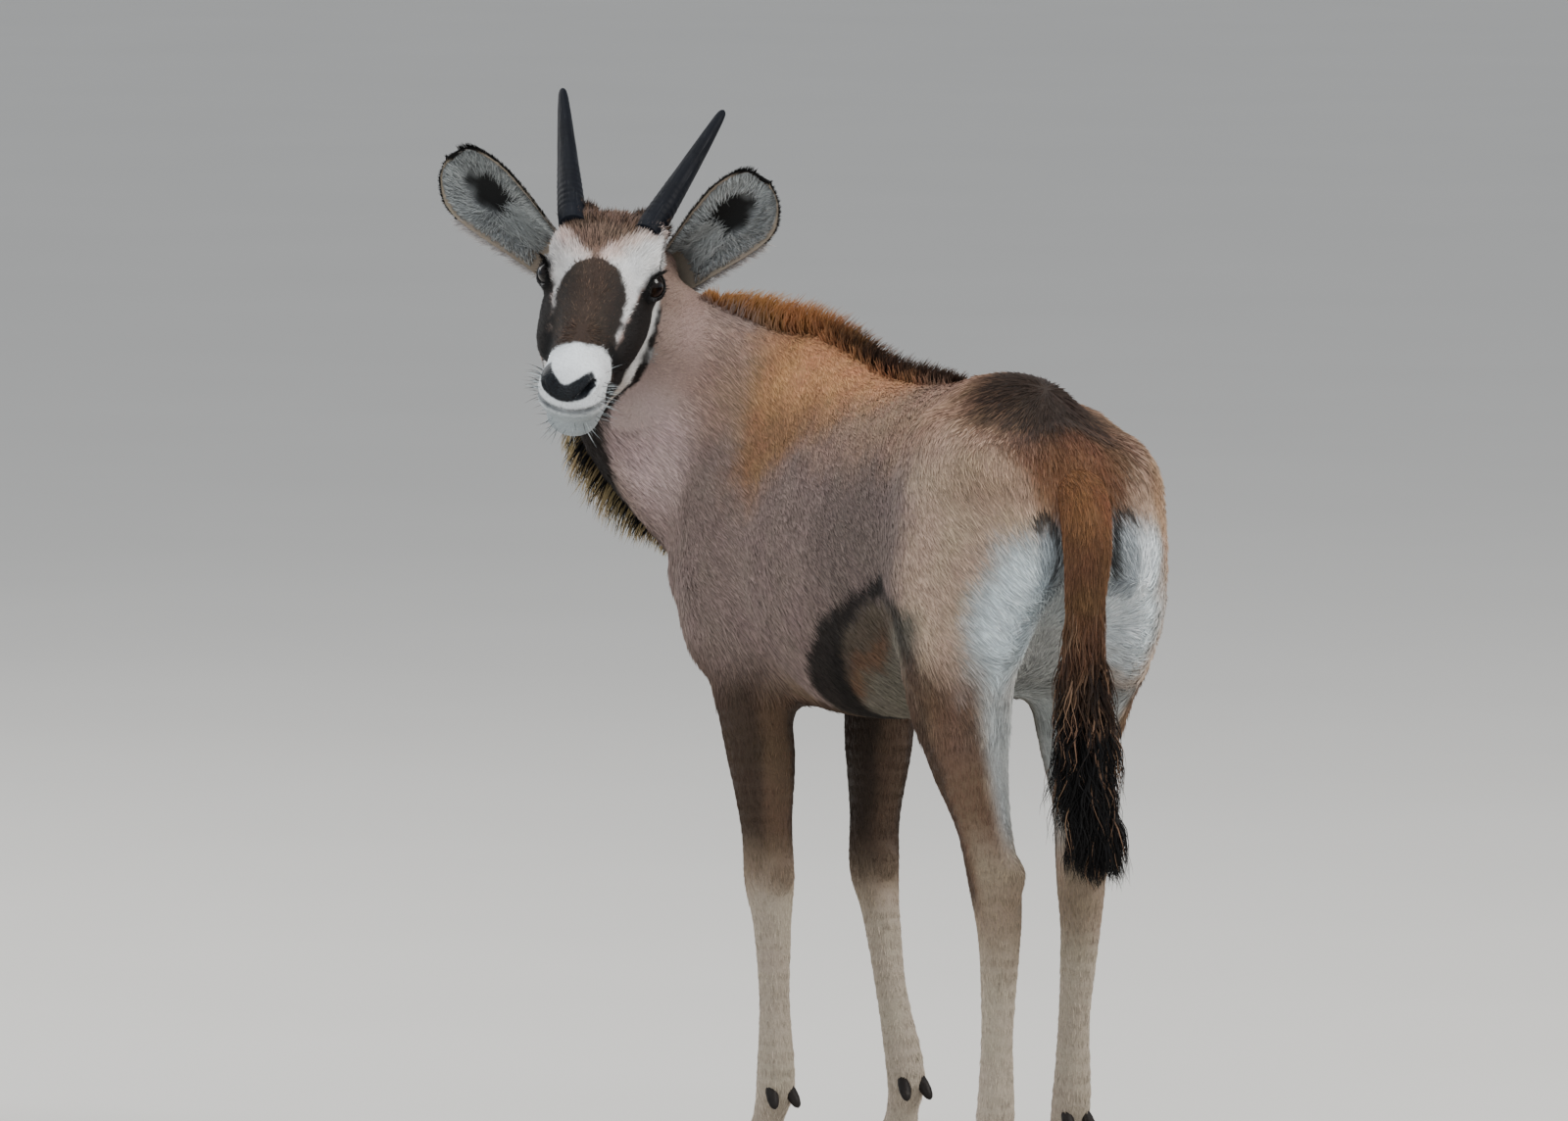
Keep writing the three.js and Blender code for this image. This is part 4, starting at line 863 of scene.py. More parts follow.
def hairMaterial(name, scale, depth, rough, sheen):  # painted hair: its colour is on the mesh
    made, tree, shader = startMaterial(
        name, {"Sheen Weight": sheen, "Sheen Roughness": 0.45, "Specular IOR Level": 0.10})
    hair = node(tree, "Group", {"Vector": node(tree, "TexCoord").outputs["Object"], "Scale": scale,
                                "Color": attribute(tree, "hairColour", "Color"), "Depth": depth},
                node_tree=strands)
    height = hair.outputs["Height"]
    dressed(tree, shader, hair.outputs["Color"],
            spread(tree, height, 0.3, 0.7, rough - 0.07, rough + 0.08), (height, 0.35, 0.0006))
    return made


def skinMaterial():  # the skin under the coat, with bare leather on the nose, the lips and round the eyes
    made, tree, shader = startMaterial("skin", {"Sheen Weight": 0.02, "Specular IOR Level": 0.16})
    where = node(tree, "TexCoord").outputs["Object"]
    paint, bare = attribute(tree, "hairColour", "Color"), attribute(tree, "bare")
    lying = node(tree, "Mapping", {"Vector": where, "Scale": (0.3, 1.0, 0.8)})
    hair = node(tree, "Group", {"Vector": lying.outputs[0], "Color": paint, "Scale": 620.0, "Depth": 0.28},
                node_tree=strands)
    cobbles = node(tree, "TexVoronoi", {"Vector": where, "Scale": 620.0}, feature="SMOOTH_F1")
    bumps = cobbles.outputs["Distance"]
    leather = mixed(tree, spread(tree, bumps, 0.1, 0.7), paint, (0.004, 0.004, 0.005, 1))
    ridge = sums(tree, "MULTIPLY", sums(tree, "SUBTRACT", 1.0, bumps), bare)
    fur = sums(tree, "MULTIPLY", hair.outputs["Height"], sums(tree, "SUBTRACT", 1.0, bare))
    dressed(tree, shader, mixed(tree, bare, hair.outputs["Color"], leather),
            spread(tree, bare, 0, 1, 0.72, 0.34), (sums(tree, "ADD", ridge, fur), 0.5, 0.0009))
    return made


# weathered keratin along the piece's own map
def hornMaterial(name, dark, pale, flakes, rings, rough, coat):
    made, tree, shader = startMaterial(
        name, {"Coat Weight": coat, "Coat Roughness": 0.35, "Specular IOR Level": 0.08})
    where = attribute(tree, "along", "Vector")
    grain = node(tree, "Group", {"Along": where, "Flakes": flakes, "Rings": rings}, node_tree=keratin)
    broad = node(tree, "TexNoise", {"Vector": where, "Scale": 14.0, "Detail": 3.0})
    base = mixed(tree, spread(tree, broad.outputs["Fac"], 0.35, 0.65), (*dark, 1),
                 (*[c * 1.7 for c in dark], 1))
    worn = spread(tree, attribute(tree, "wear"), 0, 1, 0.3, 1.0)
    flecks = sums(tree, "MULTIPLY", grain.outputs["Flecks"], worn)
    height = grain.outputs["Height"]
    dressed(tree, shader, mixed(tree, flecks, base, (*pale, 1)),
            spread(tree, height, 0.5, 1.3, rough + 0.12, rough - 0.1), (height, 0.6, 0.0009))
    return made


def eyeMaterial():  # a dark wet eye: black pupil, deep brown iris with fine rays, clouded rim
    made, tree, shader = startMaterial("wetEye", {
        "Coat Weight": 0.8, "Coat Roughness": 0.02, "Coat IOR": 1.36, "Specular IOR Level": 0.05})
    where = attribute(tree, "gaze", "Vector")
    out = node(tree, "SeparateXYZ", {0: where})
    rays = node(tree, "TexNoise", {"Vector": where, "Scale": 5.0, "Detail": 4.0}).outputs["Fac"]
    pupil = spread(tree, out.outputs["Y"], 0.40, 0.52)
    white = spread(tree, out.outputs["X"], 1.08, 1.16)
    brown = mixed(tree, rays, (0.003, 0.002, 0.002, 1), (0.012, 0.006, 0.004, 1))
    deep = mixed(tree, pupil, (0.001, 0.001, 0.002, 1), brown)
    clouded = mixed(tree, rays, (0.10, 0.10, 0.11, 1), (0.26, 0.27, 0.29, 1))
    dressed(tree, shader, mixed(tree, white, deep, clouded), spread(tree, rays, 0.3, 0.7, 0.10, 0.16))
    return made


materials = {
    "skin": skinMaterial(),
    "coat": hairMaterial("shortCoat", 380.0, 0.16, 0.62, 0.03),
    "long": hairMaterial("longHair", 300.0, 0.2, 0.50, 0.03),
    "ear": hairMaterial("earFur", 900.0, 0.22, 0.70, 0.03),
    "eye": eyeMaterial(),
    "lid": hairMaterial("lidRim", 900.0, 0.3, 0.30, 0.0),
    "horn": hornMaterial("slateHorn", (0.0019, 0.0025, 0.0046), (0.09, 0.09, 0.092), 420.0, 130.0, 0.5, 0.02),
    "hoof": hornMaterial("hoofHorn", (0.012, 0.010, 0.009), (0.12, 0.10, 0.08), 300.0, 190.0, 0.50, 0.03),
}


# Pieces. Points are millimetres in the trunk's axes; faces are arrays of triangles, quads or both.
attributeKinds = {1: ("FLOAT", "value"), 3: ("FLOAT_VECTOR", "vector"), 4: ("FLOAT_COLOR", "color")}


def addPiece(name, points, faces, material, nodes=(), smooth=True, colour=None, patches=None,
             extra=()):
    faces = faces if isinstance(faces, list) else [faces]
    points = points / 1000 + place
    mesh = bpy.data.meshes.new(name)
    mesh.vertices.add(len(points))
    mesh.vertices.foreach_set("co", points.astype(np.float32).ravel())
    sizes = np.concatenate([np.full(len(f), f.shape[1]) for f in faces])
    mesh.loops.add(int(sizes.sum()))
    mesh.loops.foreach_set("vertex_index", np.concatenate([f.ravel() for f in faces]).astype(np.int32))
    mesh.polygons.add(len(sizes))
    mesh.polygons.foreach_set("loop_start", (np.cumsum(sizes) - sizes).astype(np.int32))
    mesh.polygons.foreach_set("use_smooth", np.full(len(sizes), smooth))
    mesh.update(calc_edges=True)
    values = dict(extra)
    if colour is not None:
        values["hairColour"] = np.hstack([colour, np.ones((len(colour), 1))])
    for title, value in values.items():
        kind, field = attributeKinds[value.size // len(value)]
        mesh.attributes.new(title, kind, "POINT").data.foreach_set(field, value.astype(np.float32).ravel())
    if patches is not None:
        corner = np.zeros(len(mesh.loops), np.int32)
        mesh.loops.foreach_get("vertex_index", corner)
        mesh.uv_layers.new(name="OFBake").data.foreach_set("uv", patches[corner].astype(np.float32).ravel())
    mesh.materials.append(materials[material])
    made = bpy.data.objects.new(name, mesh)
    bpy.context.scene.collection.objects.link(made)
    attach(made, "root")
    if nodes:
        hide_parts(*nodes)


def gridFaces(rows, columns):  # quads of a grid of points whose rows are rings
    r, c = np.meshgrid(np.arange(rows - 1), np.arange(columns), indexing="ij")
    d = (c + 1) % columns
    return np.stack([r * columns + c, r * columns + d, (r + 1) * columns + d, (r + 1) * columns + c],
                    -1).reshape(-1, 4)


def capped(points, rows, columns):  # a grid of rings closed at both ends by a fan, with its faces outward
    grid = points.reshape(rows, columns, 3)
    ends = grid[[0, -1]].mean(1)
    step, base = np.arange(columns), rows * columns
    follow = (step + 1) % columns
    low = np.stack([np.full(columns, base), follow, step], 1)
    high = np.stack([np.full(columns, base + 1), step + base - columns, follow + base - columns], 1)
    faces = [gridFaces(rows, columns), low, high]
    whole = np.vstack([points.reshape(-1, 3), ends])
    a, b, c = whole[faces[0][:, 0]], whole[faces[0][:, 1]], whole[faces[0][:, 3]]
    middle = grid.mean(1).repeat(columns, 0)[: len(a)]
    if (np.cross(b - a, c - a) * (a - middle)).sum() < 0:
        faces = [f[:, ::-1] for f in faces]
    return whole, faces


# The skin lies inside the flesh by the coat's depth, and is refined on the head.
skin = {
    "step": 5.8,
    "low": (-400, -180, -30),
    "high": (520, 300, 985),
    "depths": (3.2, 1.5, 1.6),  # coat over the body, the face and the lower legs
    "top": 34,  # lowest skin above the ground, inside the hooves
    "shade": 0.82,  # its colour against that of the hair on it
    "facial": (48, 0, -40),  # middle of the finer part of the head
}
eye = {
    "centre": (8, 45, 1), "radius": 16.5, "out": (0.5, 0.83, 0.24), "slant": (0.95, 0, -0.15),
    "opening": (15.3, 10.6, 9.4),  # half length, and reach of the upper and the lower lid
    "gap": 1.5, "socket": 13.2,  # from the eye to the lids, and the skin's distance inside it
}
nostril = {
    "path": [(172, 12, -38), (168, 18, -34.5), (163, 22.5, -30.5), (157, 25.5, -27), (150, 27.5, -24.5)],
    "reach": (1.2, 2.2, 2.7, 2.4, 1.2), "depth": (2.0, 6.0, 8.5, 6.5, 2.0),
}


def skinDepth(p):
    local = intoHead(p)
    body, face, shin = skin["depths"]
    far = np.linalg.norm(local - head["middle"], axis=1)
    onFace = ramp(local[:, 0], -70, 10) * (1 - ramp(far, 130, 190))
    onShin = 1 - ramp(p[:, 2], 330, 480)
    return body + (face - body) * onFace + (shin - body) * onShin


def skinField(p):  # the flesh, drawn in by the coat's depth and cut off inside the hooves
    return np.maximum(flesh(p) + skinDepth(p), skin["top"] - p[:, 2])


def eyeAxes(hand):  # centre, outward, lengthwise and upward directions of one eye, in the head's axes
    side = np.array([1, hand, 1])
    out = unit(np.array(eye["out"]) * side)
    along = np.array(eye["slant"], float)
    along = unit(along - out * (along @ out))
    up = np.cross(out, along) * -hand
    return np.array(eye["centre"]) * side, out, along, up if up[2] > 0 else -up


def eyeAlmond(p, hand):  # distance outside the almond between the lids: size * (1 - 1 / scaled size)
    centre, out, along, up = eyeAxes(hand)
    a, b = (p - centre) @ along, (p - centre) @ up
    half, above, below = eye["opening"]
    height = np.where(b > 0, above, below)
    scaled = (np.abs(a / half) ** 1.7 + np.abs(b / height) ** 1.7) ** (1 / 1.7)
    d = np.hypot(a, b) * (1 - 1 / np.maximum(scaled, 1e-6))
    return np.where((p - centre) @ out > -4, np.maximum(d, -height), 99)


def refined(points, faces, chosen):  # each chosen face is cut in four, by Blender's own grid fill
    mesh = bpy.data.meshes.new("cut")
    mesh.from_pydata(points.tolist(), [], faces)
    shape = bmesh.new()
    shape.from_mesh(mesh)
    shape.faces.ensure_lookup_table()
    edges = {edge for i in np.flatnonzero(chosen) for edge in shape.faces[i].edges}
    bmesh.ops.subdivide_edges(shape, edges=list(edges), cuts=1, use_grid_fill=True)
    shape.to_mesh(mesh)
    shape.free()
    co = np.zeros(len(mesh.vertices) * 3)
    mesh.vertices.foreach_get("co", co)
    cut = [list(face.vertices) for face in mesh.polygons]
    bpy.data.meshes.remove(mesh)
    return co.reshape(-1, 3), cut


def centres(points, faces):
    return np.array([points[face].mean(0) for face in faces])


def facial(c):  # parts of the head that are cut once, and finer parts that are cut again
    local = intoHead(c)
    near = np.linalg.norm(local - skin["facial"], axis=1)
    once = (near < 150) & (local[:, 0] > -92)
    front = (local[:, 0] > 100) & (near < 160)
    eyes = np.minimum(*[np.linalg.norm(local - eyeAxes(hand)[0], axis=1) for hand in (1, -1)]) < 38
    return once, front | eyes


# skin lifted over the eye by the lids, whose edges are rounded, and drawn back between them
def pressedEye(p, hand):
    centre, out, _, up = eyeAxes(hand)
    d, offset = eyeAlmond(p, hand), p - centre
    size = np.linalg.norm(offset, axis=1)
    lid, socket = eye["radius"] + eye["gap"], eye["socket"]
    rim = np.maximum(size, lid + 0.2) + 1.1 * np.exp(-((d - 1.2) / 1.8) ** 2)
    rim -= 0.9 * np.exp(-((d - 6.5) / 1.6) ** 2) * ramp(offset @ up, -2, 6)
    target = np.where(d < 0.4, socket + (lid - socket) * ramp(d, -1.2, 0.4), rim)
    facing = (offset @ out > 0) & (d < 12)
    return np.where(facing[:, None], centre + offset * (target / np.maximum(size, 1e-6))[:, None], p)


def pressedNostril(p, hand):  # pressed in along a path, with a raised edge
    path = np.array(nostril["path"]) * (1, hand, 1) + (0, leanOf(160), 0)
    size, at = lineDistance(p, path)
    reach, depth = [np.interp(at, range(5), nostril[key]) for key in ("reach", "depth")]
    press = depth * (1 - ramp(size, 0.45 * reach, 1.7 * reach))
    flare = 1.6 * np.exp(-((size - 2.1 * reach) / 2.2) ** 2) * ramp(at, 0.6, 2.2)
    inward = unit(np.array([-0.72, -0.62 * hand, -0.1]))
    return p + press[:, None] * inward - (flare * (press < 0.4))[:, None] * inward


def moulded(points):  # eyelids, nostrils, mouth and the groove under the nose pressed into the head
    local = intoHead(points)
    near = np.flatnonzero((np.linalg.norm(local - skin["facial"], axis=1) < 190) & (local[:, 0] > -60))
    p = local[near]
    for hand in (1, -1):
        p = pressedNostril(pressedEye(p, hand), hand)
    lips, at = lineDistance(np.stack([p[:, 0], np.abs(p[:, 1]), p[:, 2]], 1), faceMarks["mouth"])
    middle = unit(np.stack([-0.8 + 0 * at, -0.75 * np.sign(p[:, 1]) * (at < 4.2), 0 * at], 1))
    p = p + (2.6 * np.exp(-(lips / 1.7) ** 2))[:, None] * middle
    p[:, 0] -= 1.3 * np.exp(-((p[:, 1] + 4) / 1.2) ** 2) * band(p[:, 2], -52, -42, 2) * (p[:, 0] > 150)
    points = points.copy()
    points[near] = fromHead(p)
    return points


def bareSkin(points):  # 1 on the nose pad, the lips and the rims of the eyes
    p = intoHead(points)
    x, y, z = p.T
    pad = inNose(np.abs(y - leanOf(x)), z, 0.8) * ramp(x, 140, 146)
    lips, _ = lineDistance(np.stack([x, np.abs(y), z], 1), faceMarks["mouth"])
    rims = [1 - ramp(eyeAlmond(p, hand), 1.5, 3.2) for hand in (1, -1)]
    return np.clip(pad + 0.8 * (1 - ramp(lips, 1.0, 2.6)) + rims[0] + rims[1], 0, 1)


def makeSkin():
    points, quads = surfaceOf(skinField, np.array(skin["low"], float), skin["high"], skin["step"])
    points = settled(skinField, points)
    report(f"skin: {len(points)} points")
    faces = quads.tolist()
    for level in (0, 1):
        chosen = facial(centres(points, faces))[level]
        count = len(points)
        points, faces = refined(points, faces, chosen)
        points[count:] = settled(skinField, points[count:], 1 + level)
    points = moulded(points)
    trio = [face for face in faces if len(face) == 3]
    four = [face for face in faces if len(face) == 4]
    fans = [[face[0], *face[i:i + 2]] for face in faces if len(face) > 4 for i in range(1, len(face) - 1)]
    made = [np.array(part) for part in (trio + fans, four) if part]
    triangles = np.vstack([made[0], made[1][:, :3], made[1][:, [0, 2, 3]]])
    corner = points[triangles]
    area = np.cross(corner[:, 1] - corner[:, 0], corner[:, 2] - corner[:, 0])
    normal = np.zeros_like(points)
    for k in range(3):
        np.add.at(normal, triangles[:, k], area)
    normal = unit(normal)
    colour = coatColour(points, normal) * skin["shade"]
    fleshNodes = ["hindquarters", "torso", "neck", "head"]
    fleshNodes += [f"{leg}_{part}" for leg in strides for part in ("upper", "lower")]
    addPiece("skin", points, made, "skin", fleshNodes, colour=colour,
             extra={"bare": bareSkin(points)})
    return points, triangles, normal, np.linalg.norm(area, axis=1) / 2


skinPoints, skinTriangles, skinNormals, skinAreas = makeSkin()
report(f"skin refined: {len(skinPoints)} points")

# The short coat: closed four-faced tufts, root sunk in the skin, spread evenly over its area. Spacing is the
# square millimetres of skin for each tuft. byHead: for the length and for the width, the share of it far from
# the head, and what the head adds to that.
coat = {
    "trunk": {"spacing": 6.3, "length": 13.5, "width": 2.35, "lift": 9, "byHead": ((1, -0.9), (1, -0.5))},
    "legs": {"spacing": 4.5, "length": 7.8, "width": 1.65, "lift": 8, "byHead": ((1, 0), (1, 0))},
    "face": {"spacing": 2.2, "length": 6.2, "width": 1.2, "lift": 9, "byHead": ((1.4, -0.4), (1.7, -0.7))},
    "tufts": 48000,  # most tufts in one piece
    "patch": 0.003,
}


def towards(lie, target, mask):  # directions drawn to a target by a mask
    return lie + (target - lie) * mask[:, None]


def coatLie(p, n):  # the way the hair lies, along the skin
    x, y, z = p.T
    d = np.stack([-1 + 0 * x, 0.12 * np.sign(y) * ramp(z, 700, 790), -0.5 + 0 * x], 1)
    d = towards(d, (-0.75, -0.55, -0.55), ramp(x, 230, 330))
    d = towards(d, (-1, 0, 0), ramp(-n[:, 2], 0.2, 0.7) * ramp(z, 430, 520))
    d = towards(d, (-0.12, 0, -1), 1 - ramp(z, 420, 600))
    away = (p - bodyMarks["whorl"]) * (1, 1, 0.6)
    d = towards(d, unit(away), np.exp(-(np.linalg.norm(away, axis=1) / 120) ** 2))
    local, share = headShare(p)
    d = d * (1 - share[:, None]) + (faceLie(local) @ head["axes"].T) * share[:, None]
    return unit(d - n * (d * n).sum(1)[:, None])


def faceLie(p):  # from the whorl above the nose up the blaze, back over the cheeks, and out round the horns
    x, y, z = p.T
    d = np.stack([-1 + 0 * x, 0.25 * y / 30, -0.35 * ramp(np.abs(y), 25, 45)], 1)
    away = np.stack([x - 108, 1.6 * y, 0 * z], 1)
    d = towards(d, unit(away), np.exp(-(np.linalg.norm(away, axis=1) / 34) ** 2) * ramp(z, -70, -40))
    d = towards(d, np.stack([-0.35 + 0 * x, 0.8 * np.sign(y), -0.5 + 0 * x], 1), ramp(x, 116, 128))
    crown = np.stack([-0.9 + 0 * x, 0.5 * y / 30, 0.5 + 0 * x], 1)
    return unit(towards(d, crown, ramp(-x, -18, 6) * ramp(z, 5, 25)))


def hairiness(p):  # share of the full coat: 0 on bare skin, in the eyes, at the ears' roots and in the hooves
    local = intoHead(p)
    bald = np.maximum(bareSkin(p), p[:, 2] < skin["top"] + 4)
    for hand in (1, -1):
        earRoot = np.linalg.norm(local - np.array([-74, hand * 56, -30]), axis=1)
        bald = np.maximum(bald, (eyeAlmond(local, hand) < 2.2) | (earRoot < 15))
    return 1 - bald


def scattered(weights, seed):  # indices of triangles, each as often as its weight, evenly spread
    total = np.concatenate([[0], np.cumsum(weights)]) + np.random.default_rng(seed).random()
    counts = np.diff(np.floor(total)).astype(int)
    return np.repeat(np.arange(len(weights)), counts)


def rootsOn(triangles, pick, rng):  # a point and its normal at random in each picked triangle
    share = rng.dirichlet((1, 1, 1), len(pick))
    corner = triangles[pick]
    at = (skinPoints[corner] * share[:, :, None]).sum(1)
    return at, unit((skinNormals[corner] * share[:, :, None]).sum(1))


# four points for each tuft: three at its root, and the tip at root + length * (lie * cos(tilt)
# + normal * sin(tilt))
def tufts(roots, normals, lie, length, width, lift, rng):
    across = np.cross(lie, normals)
    tilt = np.radians(lift * rng.uniform(0.55, 1.5, len(roots)))
    sway = rng.normal(0, 0.13, len(roots))[:, None]
    lie = unit(lie + across * sway)
    across = np.cross(lie, normals)
    tip = lie * np.cos(tilt)[:, None] + normals * np.sin(tilt)[:, None]
    size = (length * rng.uniform(0.7, 1.25, len(roots)))[:, None]
    half = (width * rng.uniform(0.75, 1.25, len(roots)))[:, None] / 2
    base = roots - normals * 0.8
    return np.stack([base - across * half, base + across * half, base + normals * half * 1.1 + lie * half,
                     base + tip * size], 1)


tuftFaces = np.array([(0, 1, 2), (0, 2, 3), (2, 1, 3), (1, 0, 3)])


def outward(points, faces):  # faces of small closed forms, all turned to face out
    a, b, c = [points[:, faces[:, k]] for k in range(3)]
    middle = points.mean(1)[:, None]
    side = (np.cross(b - a, c - a) * ((a + b + c) / 3 - middle)).sum((1, 2))
    return np.where((side < 0)[:, None, None], faces[:, ::-1], faces)


def tuftColours(colour, root, tip):  # dark at the root and pale at the tip
    return colour[:, None] * np.array([root, root, 0.9, tip])[None, :, None]


def patchUv(places, each):  # each tuft's points on a small square at its place on the unwrap
    index = np.arange(each)
    spots = np.array([(0, 0), (1, 0), (0.5, 0.6), (0.5, 1)])
    spots = spots if each == 4 else np.stack([index % 3 / 2, index // 3 / (each / 3)], 1)
    return 0.002 + 0.992 * places[:, None, :] + (spots[None] - 0.5) * coat["patch"]


def addTufts(name, points, colours, places, material, faces=tuftFaces):
    count, each = points.shape[:2]
    index = outward(points, faces) + (np.arange(count) * each)[:, None, None]
    addPiece(name, points.reshape(-1, 3), index.reshape(-1, 3), material, smooth=False,
             colour=np.clip(colours, 0.001, 1).reshape(-1, 3), patches=patchUv(places, each).reshape(-1, 2))


def unwrapped(length, low, span, side, rise):  # a cylinder: length along u and the angle along v
    v = np.arctan2(side, rise) / (2 * np.pi) + 0.5
    return np.stack([np.clip((length - low) / span, 0, 1), v], 1)


def unwrapBody(p):
    return unwrapped(p[:, 0], -400, 920, p[:, 1], p[:, 2] - 640)


def unwrapLegs(p):  # each leg in its own quarter
    forward, outward, hind = legFrame(p)
    places = unwrapped(p[:, 2], 0, 640, outward, forward)
    places[:, 1] = (hind * 2 + (p[:, 1] > 0) + places[:, 1]) / 4
    return places


def unwrapHead(p):
    x, y, z = intoHead(p).T
    return unwrapped(x, -120, 310, y, z + 45)


def makeCoat():
    middle = skinPoints[skinTriangles].mean(1)
    local, face = headShare(middle)
    leg = (1 - ramp(middle[:, 2], 440, 500)) * (1 - face)
    cover = hairiness(middle)
    regions = {"trunk": ((face < 0.5) & (leg < 0.5), unwrapBody),
               "legs": ((face < 0.5) & (leg >= 0.5), unwrapLegs), "face": (face >= 0.5, unwrapHead)}
    for seed, (region, (inside, unwrap)) in enumerate(regions.items()):
        form, rng = coat[region], np.random.default_rng(40 + seed)
        pick = scattered(skinAreas * inside * cover / form["spacing"], 10 + seed)
        if region == "trunk":
            pick = pick[np.argsort(middle[pick, 0], kind="stable")]
        roots, normals = rootsOn(skinTriangles, pick, rng)
        colour = coatColour(roots, normals, rng.random(len(roots)))
        local, near = headShare(roots)
        longer, wider = [share + change * near for share, change in form["byHead"]]
        length = form["length"] * (1 + 0.25 * ripple(roots, 60)) * longer
        lift = form["lift"]
        if region == "face":
            x, y, z = local.T
            crown = ramp(20 - x, 0, 26) * ramp(z, 0, 20) * (1 - ramp(np.abs(y), 44, 60))
            length = length * (1 + 1.1 * crown) * (1 - 0.45 * ramp(x, 112, 150))
            lift = lift + 16 * crown
        points = tufts(roots, normals, coatLie(roots, normals), length, form["width"] * wider, lift, rng)
        shade = 0.66 + 0.56 * rng.random(len(roots)) + 0.12 * ripple(roots, 11, 3)
        colours = tuftColours(colour * shade[:, None], 0.72, 1.3)
        colours[:, 3] += 0.004
        places = unwrap(roots)
        for part in range(0, len(roots), coat["tufts"]):
            some = slice(part, part + coat["tufts"])
            title = "coat" + region.capitalize() + "ABCDEFGH"[part // coat["tufts"]]
            addTufts(title, points[some], colours[some], places[some], "coat")
        report(f"coat on the {region}: {len(roots)} tufts")


makeCoat()


# Long hair. The middle line of a lock runs root + length * (start * (t - t2 / 2) + end * t2 / 2), plus a wave
# to its side, and its section is a flat triangle that tapers to a point.
def locks(root, start, end, edge, length, width, thick, rings, wave=0.0, turns=1.0, phase=0.0):
    t = np.linspace(0, 1, rings)[None, :, None]
    length, width, thick, wave, turns, phase = [
        np.broadcast_to(v, len(root))[:, None, None] for v in (length, width, thick, wave, turns, phase)]
    edge = unit(edge - start * (edge * start).sum(1)[:, None])[:, None]
    path = root[:, None] + length * (start[:, None] * (t - t * t / 2) + end[:, None] * t * t / 2)
    path = path + edge * wave * length * np.sin(2 * np.pi * (turns * t + phase)) * t
    heading = unit(start[:, None] * (1 - t) + end[:, None] * t + 1e-6)
    face = unit(np.cross(heading, edge + 0 * heading))
    across = np.cross(face, heading)
    taper = np.clip(1 - t ** 1.7, 0, 1) ** 0.8 * (0.75 + 0.5 * np.sin(np.pi * np.minimum(t * 1.6, 1)))
    a = path - across * width * taper / 2 - face * thick * taper / 3
    b = path + across * width * taper / 2 - face * thick * taper / 3
    c = path + face * thick * taper * 2 / 3
    rows = np.stack([a, b, c], 2)[:, :-1].reshape(len(root), -1, 3)
    return np.concatenate([rows, path[:, -1:]], 1)


def lockFaces(rings):  # three sides of each ring but the last, a cap at the root and a point at the tip
    faces = [(0, 2, 1)]
    for i in range(rings - 2):
        for j in range(3):
            a, b = 3 * i + j, 3 * i + (j + 1) % 3
            faces += [(a, b, b + 3), (a, b + 3, a + 3)]
    last = 3 * (rings - 2)
    return np.array(faces + [(last + j, last + (j + 1) % 3, last + 3) for j in range(3)])


def lockShares(rings):  # how far along its lock each point lies, from 0 at the root to 1 at the tip
    return np.append(np.repeat(np.arange(rings - 1), 3), rings - 1) / (rings - 1)


# darker at the root, lighter at the tip
def addLocks(name, points, colour, places, rings, material="long", deep=0.6, bright=1.25):
    shade = deep + (bright - deep) * lockShares(rings)
    addTufts(name, points, colour[:, None, :] * shade[None, :, None], places, material,
             lockFaces(rings))


def tintOf(name, rng, count, spread=0.3):  # one tone, a little lighter or darker from lock to lock
    return tones[name] * (1 - spread / 2 + spread * rng.random((count, 1)))


def jitter(rng, count, size):
    return rng.normal(0, size, (count, 3))


def headLocks(root, start, end, edge, *rest):  # locks given in the head's own axes
    turn = head["axes"].T
    return locks(fromHead(root), start @ turn, end @ turn, np.tile(edge, (len(root), 1)) @ turn, *rest)


def roundCircle(count):
    return np.arange(count) / count * 2 * np.pi


# a sphere whose pole looks out, with a low cornea: radius * (1 + bulge * exp(-(angle / 0.5)2))
def makeEyes():
    rows, sides = 40, 64
    for name, hand in hands.items():
        centre, out, along, up = eyeAxes(hand)
        angle, about = np.meshgrid(np.linspace(0.03, np.pi - 0.03, rows), roundCircle(sides), indexing="ij")
        radius = eye["radius"] * (1 + 0.045 * np.exp(-(angle / 0.5) ** 2))
        a, b = np.sin(angle) * np.cos(about), np.sin(angle) * np.sin(about)
        heading = np.cos(angle)[..., None] * out + a[..., None] * along + b[..., None] * up
        local = centre + radius[..., None] * heading
        points, faces = capped(fromHead(local.reshape(-1, 3)), rows, sides)
        gaze = np.stack([angle / 0.9, np.hypot(a / 0.66, b / 0.42), 3 * np.sin(3 * about)], -1)
        gaze = np.vstack([gaze.reshape(-1, 3), [(0, 0, 0), (3, 3, 0)]])
        addPiece(f"eyeball_{name}", points, faces, "eye", (f"eye_{name}",),
                 extra={"gaze": gaze})


# the almond's edge by angle, half length * cos ^ (2 / 1.7) along and lid's reach * sin ^ (2 / 1.7) up, laid
# on a sphere just outside the eye
def lidLine(hand, t, reach=0.6):
    centre, out, along, up = eyeAxes(hand)
    half, above, below = eye["opening"]
    c, s = np.cos(t), np.sin(t)
    a = (half + reach) * np.sign(c) * np.abs(c) ** (2 / 1.7)
    b = (np.where(s > 0, above, below) + reach) * np.sign(s) * np.abs(s) ** (2 / 1.7)
    size = eye["radius"] + 1.0
    depth = np.sqrt(np.maximum(size ** 2 - a ** 2 - b ** 2, 1))
    return centre + depth[:, None] * out + a[:, None] * along + b[:, None] * up


